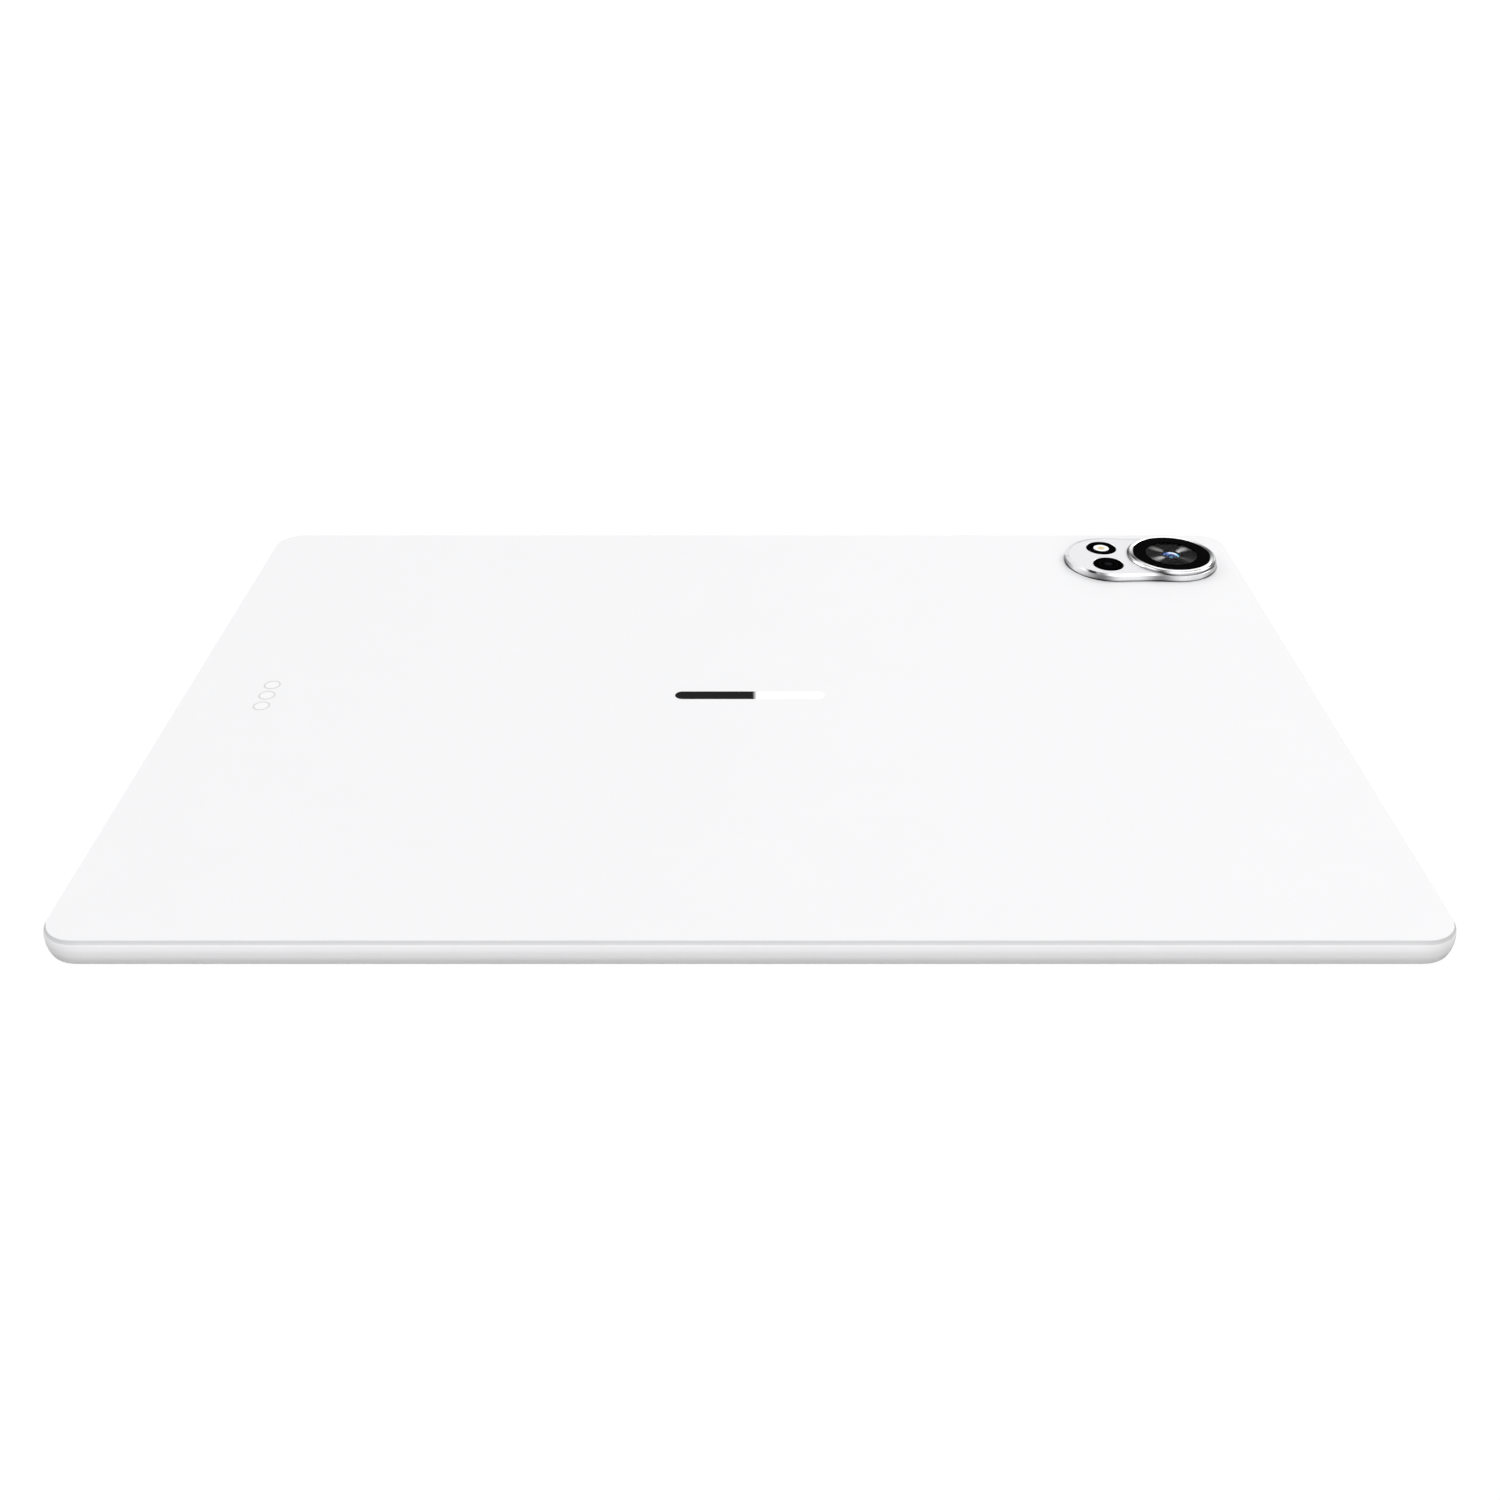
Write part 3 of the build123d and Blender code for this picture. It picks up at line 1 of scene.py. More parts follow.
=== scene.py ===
"""Looks for the tablet computer: materials for every CAD node, the studio and the camera.

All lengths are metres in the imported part's own frame: +X along the long side, +Y towards the
cameras' long edge, +Z out of the back.
"""

import math  # noqa: E402

import bpy  # noqa: E402
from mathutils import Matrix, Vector  # noqa: E402


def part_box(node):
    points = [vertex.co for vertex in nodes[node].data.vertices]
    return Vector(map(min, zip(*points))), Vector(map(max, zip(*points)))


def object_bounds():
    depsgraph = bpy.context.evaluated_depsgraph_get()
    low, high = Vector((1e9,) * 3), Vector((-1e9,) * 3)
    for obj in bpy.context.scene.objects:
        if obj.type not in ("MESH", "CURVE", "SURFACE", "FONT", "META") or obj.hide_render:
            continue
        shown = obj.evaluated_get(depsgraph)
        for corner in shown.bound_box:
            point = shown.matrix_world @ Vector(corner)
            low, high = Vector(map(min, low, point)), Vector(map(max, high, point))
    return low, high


MM = 0.001
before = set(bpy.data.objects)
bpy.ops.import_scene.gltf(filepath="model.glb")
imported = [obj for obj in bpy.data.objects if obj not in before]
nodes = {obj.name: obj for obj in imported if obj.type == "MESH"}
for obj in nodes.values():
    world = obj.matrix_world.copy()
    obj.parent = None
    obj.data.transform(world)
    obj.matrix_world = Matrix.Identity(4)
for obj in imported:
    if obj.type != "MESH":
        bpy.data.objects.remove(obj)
scene = bpy.context.scene
cad_box = [list(corner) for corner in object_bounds()]


def middle(node):
    """Centre of a CAD node's box."""
    low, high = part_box(node)
    return (low + high) / 2


def rim_radius(node):
    """Radius of a round CAD node."""
    low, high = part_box(node)
    return (high.x - low.x) / 2


def above(level, heights):
    """Heights in mm over a level in metres, as heights in metres."""
    return [level + height * MM for height in heights]


class Graph:
    """Short calls that build a node tree."""

    def __init__(self, tree):
        self.tree = tree
        tree.nodes.clear()

    def put(self, socket, value):
        """Links a socket, or sets a plain value."""
        if isinstance(value, bpy.types.NodeSocket):
            self.tree.links.new(value, socket)
        else:
            socket.default_value = value

    def add(self, kind, inputs=None, **settings):
        node = self.tree.nodes.new("ShaderNode" + kind)
        for name, value in settings.items():
            setattr(node, name, value)
        for key, value in (inputs or {}).items():
            self.put(node.inputs[key], value)
        return node

    def math(self, operation, *values):
        node = self.add("Math", operation=operation)
        for socket, value in zip(node.inputs, values):
            self.put(socket, value)
        return node.outputs[0]

    def vector(self, operation, *values, output=0):
        node = self.add("VectorMath", operation=operation)
        for socket, value in zip(node.inputs, values):
            self.put(socket, value)
        return node.outputs[output]

    def ramp(self, value, low, high, to_low=0.0, to_high=1.0, smooth=True):
        """Maps low..high to to_low..to_high, held at both ends."""
        inputs = {
            "Value": value,
            "From Min": low,
            "From Max": high,
            "To Min": to_low,
            "To Max": to_high,
        }
        kind = "SMOOTHSTEP" if smooth else "LINEAR"
        return self.add("MapRange", inputs, interpolation_type=kind).outputs[0]

    def tones(self, value, stops):
        """Reads value off a smooth curve through stops: each an input and its output, 0 to 1."""
        low, high = stops[0][0], stops[-1][0]
        node = self.add("ValToRGB", {"Fac": self.ramp(value, low, high, smooth=False)})
        curve = node.color_ramp
        curve.interpolation = "EASE"
        while len(curve.elements) < len(stops):
            curve.elements.new(0.5)
        for stop, (place, tone) in zip(curve.elements, stops):
            stop.position = (place - low) / (high - low)
            stop.color = rgb(tone)
        return self.add("RGBToBW", {"Color": node.outputs[0]}).outputs[0]

    def between(self, share, first, second):
        """Number from first to second by share."""
        return self.ramp(share, 0.0, 1.0, first, second, smooth=False)

    def mix(self, share, first, second):
        """Colour from first to second by share."""
        node = self.add("MixRGB", {"Fac": share, "Color1": first, "Color2": second})
        return node.outputs[0]

    def place(self):
        """Position on the piece, in metres, in the part's frame."""
        return self.add("TexCoord").outputs["Object"]

    def split(self, vector):
        return self.add("SeparateXYZ", {"Vector": vector}).outputs

    def noise(self, size, detail=3.0, vector=None, **inputs):
        """Cloudy noise from 0 to 1, of a size in metres."""
        inputs = {"Vector": vector or self.place(), "Scale": 1 / size, "Detail": detail, **inputs}
        return self.add("TexNoise", inputs).outputs[0]

    def product(self, *values):
        """All values multiplied together."""
        total = values[0]
        for value in values[1:]:
            total = self.math("MULTIPLY", total, value)
        return total

    def rest(self, share):
        """What is left of 1 after share."""
        return self.math("SUBTRACT", 1.0, share)

    def dimmed(self, colour, tone):
        """Colour with its brightness multiplied by tone."""
        return self.add("HueSaturation", {"Color": colour, "Value": tone}).outputs[0]

    def radius_from(self, centre):
        """Distance from an upright axis through centre."""
        flat = self.vector("MULTIPLY", self.place(), (1, 1, 0))
        return self.vector("DISTANCE", flat, (centre[0], centre[1], 0), output=1)

    def bearing(self, centre):
        """Angle about an upright axis through centre, in degrees from +X, from -180 to 180."""
        x, y, _ = self.split(self.vector("SUBTRACT", self.place(), tuple(centre)))
        return self.math("DEGREES", self.math("ARCTAN2", y, x))

    def bands(self, value, bands):
        """Sum of soft bands along value; each band is its middle, half width and strength."""
        total = 0.0
        for place, half_width, strength in bands:
            away = self.math("WRAP", self.math("SUBTRACT", value, place), 180.0, -180.0)
            share = self.ramp(self.math("ABSOLUTE", away), 0.0, half_width, strength, 0.0)
            total = self.math("ADD", total, share)
        return total


def rgb(*values):
    return (*values, 1.0) if len(values) == 3 else (values[0],) * 3 + (1.0,)


# ---------------------------------------------------------------------------------------------
# Patterns: each gives a number from 0 to 1 over the surface, at a size in metres


def grain(graph, size):
    return graph.noise(size, 4.0, Roughness=0.6)


def brushed(graph, size):
    """Fine lines along X."""
    return graph.noise(size, vector=graph.vector("MULTIPLY", graph.place(), (0.03, 1.0, 1.0)))


def crinkled(graph, size):
    """Soft creases, as in foil or film."""
    noise = graph.noise(size, 2.0, Distortion=1.2)
    ridge = graph.math("ABSOLUTE", graph.math("SUBTRACT", noise, 0.5))
    return graph.ramp(ridge, 0.0, 0.14)


def tracks(graph, size):
    """Printed tracks: bands that turn at right angles."""
    brick = graph.add(
        "TexBrick",
        {
            "Vector": graph.place(),
            "Scale": 1 / size,
            "Mortar Size": 0.08,
            "Mortar Smooth": 0.2,
            "Brick Width": 3.0,
            "Row Height": 0.6,
        },
    )
    return brick.outputs["Fac"]


def dots(graph, size):
    """Round holes on a square grid."""
    cell = graph.add(
        "TexVoronoi", {"Vector": graph.place(), "Scale": 1 / size, "Randomness": 0.0}
    )
    return graph.ramp(cell.outputs["Distance"], 0.28, 0.36)


def ripples(graph, value, size):
    """Even waves along value."""
    wave = graph.math("SINE", graph.math("MULTIPLY", value, math.tau / size))
    return graph.ramp(wave, -1.0, 1.0)


def turns(graph, size):
    """Wire turns across X and Y."""
    x, y, _ = graph.split(graph.place())
    return ripples(graph, graph.math("ADD", x, y), size)


def new_material(name):
    material = bpy.data.materials.new(name)
    material.use_nodes = True
    return material, Graph(material.node_tree)


def shade(graph, inputs, height=None, depth=0.0):
    """A Principled shader on the output, with a bump of depth metres where height is given."""
    shader = graph.add("BsdfPrincipled", inputs)
    if height is not None:
        bump = graph.add("Bump", {"Height": height, "Distance": depth, "Strength": 1.0})
        graph.put(shader.inputs["Normal"], bump.outputs[0])
    output = graph.add("OutputMaterial")
    graph.put(output.inputs["Surface"], shader.outputs[0])
    return shader, output


def patterned(name, low, high, rough, pattern, size, depth, **constants):
    """A finish whose colour, gloss and relief all follow one pattern."""
    material, graph = new_material(name)
    share = pattern(graph, size)
    inputs = {
        "Base Color": graph.mix(share, rgb(*low), rgb(*high)),
        "Roughness": graph.ramp(share, 0.2, 0.8, rough[0], rough[1], smooth=False),
    }
    inputs.update({key.replace("_", " "): value for key, value in constants.items()})
    shade(graph, inputs, share, depth)
    return material


# slot: colour at 0, colour at 1, roughness, pattern, its size and its relief in mm, constants
SIMPLE = {
    "backlight_white": (
        (0.78, 0.78, 0.76), (0.86, 0.86, 0.84), (0.5, 0.6),
        grain, 0.8, 0.004, {},
    ),
    "graphite": (
        (0.08, 0.08, 0.09), (0.14, 0.14, 0.15), (0.35, 0.55),
        grain, 0.6, 0.006, {"Metallic": 0.4},
    ),
    "adhesive": (
        (0.03, 0.03, 0.03), (0.06, 0.06, 0.06), (0.6, 0.8),
        crinkled, 1.2, 0.01, {},
    ),
    "flex_film": (
        (0.35, 0.15, 0.03), (0.50, 0.26, 0.08), (0.3, 0.4),
        tracks, 0.5, 0.008, {},
    ),
    "trim_black": (
        (0.0008, 0.0008, 0.001), (0.002, 0.002, 0.0024), (0.3, 0.4),
        grain, 0.2, 0.001, {"Specular_IOR_Level": 0.0},
    ),
    "barrel_black": (
        (0.003, 0.003, 0.003), (0.008, 0.008, 0.008), (0.45, 0.6),
        grain, 0.1, 0.003, {"Specular_IOR_Level": 0.1},
    ),
    "camera_can": (
        (0.26, 0.26, 0.27), (0.36, 0.36, 0.37), (0.3, 0.45),
        brushed, 0.15, 0.002, {"Metallic": 1.0},
    ),
    "bracket_steel": (
        (0.5, 0.5, 0.51), (0.66, 0.66, 0.67), (0.28, 0.42),
        brushed, 0.2, 0.002, {"Metallic": 1.0},
    ),
    "shield_tin": (
        (0.6, 0.6, 0.6), (0.74, 0.74, 0.73), (0.25, 0.4),
        grain, 1.5, 0.004, {"Metallic": 1.0},
    ),
    "board_laminate": (
        (0.010, 0.07, 0.045), (0.03, 0.16, 0.10), (0.3, 0.4),
        tracks, 0.8, 0.02, {},
    ),
    "chip_resin": (
        (0.02, 0.02, 0.024), (0.045, 0.045, 0.05), (0.5, 0.7),
        grain, 0.15, 0.004, {},
    ),
    "switch_body": (
        (0.09, 0.09, 0.09), (0.15, 0.15, 0.15), (0.5, 0.65),
        grain, 0.2, 0.004, {},
    ),
    "dome_steel": (
        (0.66, 0.66, 0.66), (0.78, 0.78, 0.78), (0.2, 0.35),
        brushed, 0.1, 0.001, {"Metallic": 1.0},
    ),
    "usb_steel": (
        (0.52, 0.52, 0.53), (0.68, 0.68, 0.69), (0.22, 0.38),
        brushed, 0.12, 0.002, {"Metallic": 1.0},
    ),
    "cell_pouch": (
        (0.24, 0.24, 0.25), (0.36, 0.36, 0.37), (0.3, 0.5),
        crinkled, 6.0, 0.03, {"Metallic": 0.7},
    ),
    "speaker_plastic": (
        (0.03, 0.03, 0.03), (0.05, 0.05, 0.05), (0.5, 0.65),
        grain, 0.3, 0.006, {},
    ),
    "speaker_mesh": (
        (0.005, 0.005, 0.005), (0.07, 0.07, 0.07), (0.5, 0.4),
        dots, 0.22, 0.03, {"Metallic": 0.6},
    ),
    "aerial_plastic": (
        (0.08, 0.08, 0.08), (0.12, 0.12, 0.12), (0.45, 0.6),
        grain, 0.4, 0.004, {},
    ),
    "cable_sheath": (
        (0.02, 0.02, 0.02), (0.045, 0.045, 0.045), (0.45, 0.6),
        grain, 0.3, 0.003, {},
    ),
    "magnet_nickel": (
        (0.6, 0.6, 0.58), (0.7, 0.7, 0.68), (0.15, 0.3),
        grain, 0.8, 0.002, {"Metallic": 1.0},
    ),
    "coil_copper": (
        (0.5, 0.22, 0.11), (0.8, 0.42, 0.25), (0.2, 0.4),
        turns, 0.15, 0.02, {"Metallic": 1.0},
    ),
    "screw_steel": (
        (0.48, 0.48, 0.49), (0.62, 0.62, 0.63), (0.25, 0.4),
        grain, 0.3, 0.003, {"Metallic": 1.0},
    ),
    "flash_phosphor": (
        (0.85, 0.68, 0.12), (0.95, 0.80, 0.30), (0.6, 0.8),
        grain, 0.1, 0.003, {},
    ),
    "display_glass": (
        (0.006, 0.006, 0.008), (0.012, 0.012, 0.016), (0.1, 0.2),
        tracks, 0.1, 0.0, {},
    ),
}

finishes = {
    slot: patterned(slot + "_finish", low, high, rough, kind, size * MM, depth * MM, **constants)
    for slot, (low, high, rough, kind, size, depth, constants) in SIMPLE.items()
}


# ---------------------------------------------------------------------------------------------
# Outer finishes


# Painted shading of the housing's edge: its brightness against height in mm, with a painted
# highlight along the crease under the chamfer and painted shade darker towards the lower lip. The
# last stop is the flat back's.
EDGE_PAINTED_SHADING = (
    (0.3, 0.62),
    (1.3, 0.70),
    (3.0, 0.82),
    (4.6, 0.95),
    (4.96, 1.0),
    (5.05, 0.98),
    (5.25, 0.76),
    (5.75, 0.72),
    (5.88, 0.86),
)
# Painted shade on the two short sides: the share of that painted brightness left there, and where
# it starts to fade, in mm from the middle
SHORT_SIDE_PAINTED_SHADE = 0.82
SHORT_SIDE_FADE = (124.0, 134.4)


COAT_GRAIN = 0.12 * MM
COAT_CLOUD = 18 * MM
COAT_RELIEF = 0.0012 * MM


def painted_edge_shading(graph):
    """Painted shading of the coat over the housing's edge, beside 1 on its flat back: a crease
    highlight, shade towards the lip and shade on the short sides.
    """
    x, _, z = graph.split(graph.place())
    height = graph.math("DIVIDE", z, MM)
    (start, _), (end, flat) = EDGE_PAINTED_SHADING[-2:]
    tone = graph.math("DIVIDE", graph.tones(height, EDGE_PAINTED_SHADING), flat)
    fade_start, fade_end = (distance * MM for distance in SHORT_SIDE_FADE)
    on_side = graph.ramp(graph.math("ABSOLUTE", x), fade_start, fade_end)
    on_edge = graph.ramp(height, start, end, 1.0, 0.0)
    side = graph.between(graph.product(on_side, on_edge), 1.0, SHORT_SIDE_PAINTED_SHADE)
    return graph.product(tone, side)


def coat(name, low, high, rough, on_edge=False):
    """White satin coat: an even pearl with a very fine grain that only softens the gloss; with
    on_edge, painted shading over the housing's edge.
    """
    material, graph = new_material(name)
    fine = graph.noise(COAT_GRAIN, 2.0)
    cloud = graph.noise(COAT_CLOUD)
    share = graph.math("ADD", graph.product(cloud, 0.6), graph.product(fine, 0.4))
    colour = graph.mix(share, rgb(*low), rgb(*high))
    if on_edge:
        # Painted shading over the edge: a highlight along the crease, shade towards the lip and
        # on the short sides
        colour = graph.dimmed(colour, painted_edge_shading(graph))
    shade(
        graph,
        {
            "Base Color": colour,
            "Roughness": graph.ramp(fine, 0.3, 0.7, rough[0], rough[1], smooth=False),
            "Specular IOR Level": 0.35,
        },
        fine,
        COAT_RELIEF,
    )
    return material


# slot: colour where the cloud is dark and where it is light, roughness, whether its edge gets the
# painted shading
COATS = {
    "housing_coat": ((0.826, 0.826, 0.836), (0.856, 0.856, 0.866), (0.40, 0.50), True),
    "key_coat": ((0.82, 0.82, 0.83), (0.85, 0.85, 0.86), (0.36, 0.46), True),
    "contact_pad": ((0.85, 0.85, 0.86), (0.88, 0.88, 0.89), (0.34, 0.42), False),
    "contact_ring": ((0.62, 0.62, 0.63), (0.68, 0.68, 0.69), (0.45, 0.55), False),
}
for slot, settings in COATS.items():
    finishes[slot] = coat(slot + "_finish", *settings)


def mirror(name):
    """Bright metal whose faint lapping marks only change its gloss."""
    material, graph = new_material(name)
    marks = graph.noise(2 * MM)
    shade(
        graph,
        {
            "Base Color": graph.mix(marks, rgb(0.93, 0.935, 0.95), rgb(0.97, 0.97, 0.98)),
            "Roughness": graph.ramp(marks, 0.3, 0.7, 0.008, 0.016, smooth=False),
            "Metallic": 1.0,
        },
        marks,
        0.0,
    )
    return material


finishes["inlay_mirror"] = mirror("inlay_mirror_finish")

# Painted reflections: dark bands painted on the polished parts where they would reflect something
# dark, each a middle, half width and strength. The wall's and the rim's lie along X in
# millimetres, those of the bezel's two rings along the bearing in degrees.
WALL_PAINTED_REFLECTIONS = ((87.4, 1.8, 0.45), (95.2, 5.8, 0.78), (111.3, 6.4, 0.72), (125.4, 3.4, 0.38))
RIM_PAINTED_REFLECTIONS = ((92.7, 1.9, 0.97), (95.2, 3.6, 0.8), (112.0, 4.4, 0.80), (126.3, 3.4, 0.85))
UPPER_RING_PAINTED_REFLECTIONS = ((-166, 38, 0.86), (-108, 12, 0.25), (8, 50, 0.86))
LOWER_RING_PAINTED_REFLECTIONS = ((-114, 16, 0.86), (-37, 26, 0.94), (16, 40, 0.72), (171, 38, 0.9))
# Where one set of painted reflections gives way to the next, and where the painted shade at the
# wall's foot fades: heights in mm over the island's top, and the radius between the bezel's two
# rings
WALL_FOOT_SHADE = (-1.85, -1.3)
RIM_START = (-0.32, -0.26)
BEZEL_START = (-0.01, 0.02)
UPPER_RING_START = (0.5, 0.6)
UPPER_RING_RADIUS = (11.42 * MM, 11.48 * MM)
LEAST_SHINE = 0.03


def island_chrome(name):
    """Polished metal: faint lapping marks, with painted reflections as soft dark bands round the
    island and the bezel, and painted shade at the wall's foot.
    """
    material, graph = new_material(name)
    marks = grain(graph, 0.6 * MM)
    x, y, z = graph.split(graph.place())
    x = graph.math("DIVIDE", x, MM)
    island = middle("camera_island_frame")
    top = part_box("camera_island_frame")[1].z
    bezel = middle("main_camera_bezel")
    bearing = graph.bearing(bezel)
    radius = graph.radius_from(bezel)
    near = graph.ramp(y, island.y - 3 * MM, island.y, 1.0, 0.0)
    # Painted shade at the wall's foot, and painted reflections as dark bands on the wall, the rim
    # and the bezel's rings
    painted_foot_shade = graph.ramp(z, *above(top, WALL_FOOT_SHADE), 0.25, 0.0)
    wall = graph.math("ADD", graph.bands(x, WALL_PAINTED_REFLECTIONS), painted_foot_shade)
    rim = graph.product(graph.bands(x, RIM_PAINTED_REFLECTIONS), near)
    lower = graph.bands(bearing, LOWER_RING_PAINTED_REFLECTIONS)
    upper = graph.bands(bearing, UPPER_RING_PAINTED_REFLECTIONS)
    painted_dark = graph.between(graph.ramp(z, *above(top, RIM_START)), wall, rim)
    painted_dark = graph.between(graph.ramp(z, *above(top, BEZEL_START)), painted_dark, lower)
    on_upper = graph.product(
        graph.ramp(radius, *UPPER_RING_RADIUS, 1.0, 0.0),
        graph.ramp(z, *above(top, UPPER_RING_START)),
    )
    painted_dark = graph.between(on_upper, painted_dark, upper)
    shine = graph.math("MAXIMUM", graph.rest(painted_dark), LEAST_SHINE)
    metal = graph.mix(marks, rgb(0.90, 0.90, 0.92), rgb(0.96))
    shade(
        graph,
        {
            "Base Color": graph.dimmed(metal, shine),
            "Roughness": graph.ramp(marks, 0.3, 0.7, 0.07, 0.13, smooth=False),
            "Metallic": 1.0,
            "Specular Tint": rgb(0.7),
        },
    )
    return material


def island_satin(name):
    """Satin plate, with a painted highlight on the bevels of its two small openings."""
    material, graph = new_material(name)
    fine = grain(graph, 0.12 * MM)
    base = graph.mix(fine, rgb(0.71, 0.71, 0.73), rgb(0.74, 0.74, 0.76))
    for node in ("flash_trim", "second_lens_glass"):
        radius = graph.radius_from(middle(node))
        # A painted highlight on the bevel round each opening
        painted_bevel_highlight = graph.ramp(radius, *above(rim_radius(node), (0.15, 0.35)), 1.0, 0.0)
        base = graph.mix(painted_bevel_highlight, base, rgb(0.97))
    shade(
        graph,
        {
            "Base Color": base,
            "Roughness": graph.ramp(fine, 0.3, 0.7, 0.32, 0.40, smooth=False),
            "Metallic": 0.35,
        },
        fine,
        0.001 * MM,
    )
    return material


finishes["island_chrome"] = island_chrome("island_chrome_finish")
finishes["island_satin"] = island_satin("island_satin_finish")


# Painted reflection streaks on the turned disc, where it is painted bright: angle from +X, half
# width in degrees, and strength
PAINTED_STREAKS = ((38, 19, 1.0), (137, 19, 0.7), (213, 19, 1.0), (317, 18, 0.22))
GROOVE = 0.16 * MM


def spun(name, centre):
    """Turned metal disc: concentric grooves that spread light across them, with painted
    reflection streaks in its colour that fade outwards.
    """
    material, graph = new_material(name)
    radius = graph.radius_from(centre)
    groove = ripples(graph, radius, GROOVE)
    outward = graph.add("CombineXYZ", {"X": radius}).outputs[0]
    uneven = graph.noise(0.35 * MM, vector=outward)
    share = graph.math("ADD", graph.product(groove, 0.4), graph.product(uneven, 0.6))
    # Painted reflection streaks in the base colour, fading outwards
    fade = graph.ramp(radius, 3.5 * MM, 7.3 * MM, 1.0, 0.25)
    painted_streaks = graph.product(graph.bands(graph.bearing(centre), PAINTED_STREAKS), fade)
    tangent = graph.add("Tangent", direction_type="RADIAL", axis="Z").outputs[0]
    shade(
        graph,
        {
            "Base Color": graph.mix(
                painted_streaks,
                graph.mix(share, rgb(0.009), rgb(0.02)),
                graph.mix(share, rgb(0.32), rgb(0.50)),
            ),
            "Specular Tint": rgb(0.5),
            "Roughness": graph.ramp(share, 0.2, 0.8, 0.30, 0.40, smooth=False),
            "Metallic": 1.0,
            "Anisotropic": 0.92,
            "Tangent": tangent,
        },
    )
    return material


finishes["spun_metal"] = spun("spun_metal_finish", middle("main_lens_spun_disc"))


PRINT_BLACK = (0.0010, 0.0010, 0.0012)


def lens_black(name):
    """Black window glass, with the faint glow of one coated lens under its middle."""
    material, graph = new_material(name)
    radius = graph.radius_from(middle("second_lens_glass"))
    glow = graph.ramp(radius, 0.5 * MM, 1.5 * MM, 1.0, 0.0)
    halo = graph.product(
        graph.ramp(radius, 1.9 * MM, 2.2 * MM),
        graph.ramp(radius, 2.5 * MM, 2.9 * MM, 1.0, 0.0),
        0.5,
    )
    base = graph.mix(glow, rgb(*PRINT_BLACK), rgb(0.0125, 0.0125, 0.014))
    smudge = grain(graph, 1.5 * MM)
    shade(
        graph,
        {
            "Base Color": graph.mix(halo, base, rgb(0.006, 0.006, 0.007)),
            "Roughness": graph.ramp(smudge, 0.3, 0.7, 0.04, 0.07, smooth=False),
            "Specular IOR Level": 0.0,
        },
    )
    return material


finishes["lens_black"] = lens_black("lens_black_finish")


# Painted reflections of the coating on the front element: circles in mm from its middle, each an
# x, y and radius. Each pair bounds the crescent inside the first circle and outside the second.
PAINTED_SWEEP = ((0, 0, 2.25), (-0.4, -1.6, 2.2))
PAINTED_INNER_SWEEP = ((0, -0.35, 1.2), (-0.15, -0.95, 1.0))
PAINTED_POOL = ((-0.3, -1.35, 0.5), (0, -3, 0.8))
CRESCENT_BLUR = 0.18 * MM


def crescent(graph, place, circles):
    """Share inside the crescent that two circles bound."""
    flat = graph.vector("MULTIPLY", place, (1, 1, 0))
    shares = []
    for x, y, radius in circles:
        distance = graph.vector("DISTANCE", flat, (x * MM, y * MM, 0), output=1)
        low, high = radius * MM - CRESCENT_BLUR, radius * MM + CRESCENT_BLUR
        shares.append(graph.ramp(distance, low, high, 1.0, 0.0))
    return graph.product(shares[0], graph.rest(shares[1]))


def coated_lens(name):
    """Front element: near black, with painted reflections of its coating as blue crescents and a
    painted white highlight.
    """
    material, graph = new_material(name)
    place = graph.vector("SUBTRACT", graph.place(), tuple(middle("main_lens_element")))
    x = graph.split(place)[0]
    # A painted white highlight on the right of the crescent; the blue crescents are painted
    # reflections of the coating
    painted_glint = graph.product(
        graph.ramp(x, -1.1 * MM, 0.1 * MM), graph.ramp(x, 1.3 * MM, 1.9 * MM, 1.0, 0.0)
    )
    to_right = graph.ramp(x, 1.0 * MM, 1.9 * MM)
    edge = graph.mix(to_right, rgb(0.05, 0.12, 0.42), rgb(0.16, 0.55, 0.85))
    edge = graph.mix(painted_glint, edge, rgb(0.75, 0.86, 1.0))
    painted_inner_sweep = graph.product(crescent(graph, place, PAINTED_INNER_SWEEP), 0.8)
    painted_pool = graph.product(crescent(graph, place, PAINTED_POOL), 0.5)
    colour = graph.mix(crescent(graph, place, PAINTED_SWEEP), rgb(0.002, 0.004, 0.012), edge)
    colour = graph.mix(painted_inner_sweep, colour, rgb(0.10, 0.20, 0.60))
    colour = graph.mix(painted_pool, colour, rgb(0.12, 0.36, 0.70))
    shade(
        graph,
        {
            "Base Color": colour,
            "Roughness": graph.ramp(grain(graph, 0.5 * MM), 0.3, 0.7, 0.02, 0.05, smooth=False),
            "Specular IOR Level": 0.1,
            "Specular Tint": rgb(0.55, 0.78, 1.0),
        },
    )
    return material


finishes["coated_lens"] = coated_lens("coated_lens_finish")


def clear_glass(name, tint, ior, mask, print_colour):
    """Glass that lets lamps through to what is under it, except where mask gives its print."""
    material, graph = new_material(name)
    opaque = mask(graph)
    clear_share = graph.rest(opaque)
    printed = graph.ramp(opaque, 0.0, 0.04)
    smudge = grain(graph, 8 * MM)
    shader, output = shade(
        graph,
        {
            "Base Color": graph.mix(printed, rgb(*tint), rgb(*print_colour)),
            "Roughness": graph.ramp(smudge, 0.3, 0.7, 0.0, 0.02, smooth=False),
            "IOR": ior,
            "Transmission Weight": clear_share,
        },
    )
    shadow = graph.product(graph.add("LightPath").outputs["Is Shadow Ray"], clear_share)
    through = graph.add("MixShader", {"Fac": shadow})
    graph.put(through.inputs[1], shader.outputs[0])
    graph.put(through.inputs[2], graph.add("BsdfTransparent", {"Color": rgb(*tint)}).outputs[0])
    graph.put(output.inputs["Surface"], through.outputs[0])
    return material


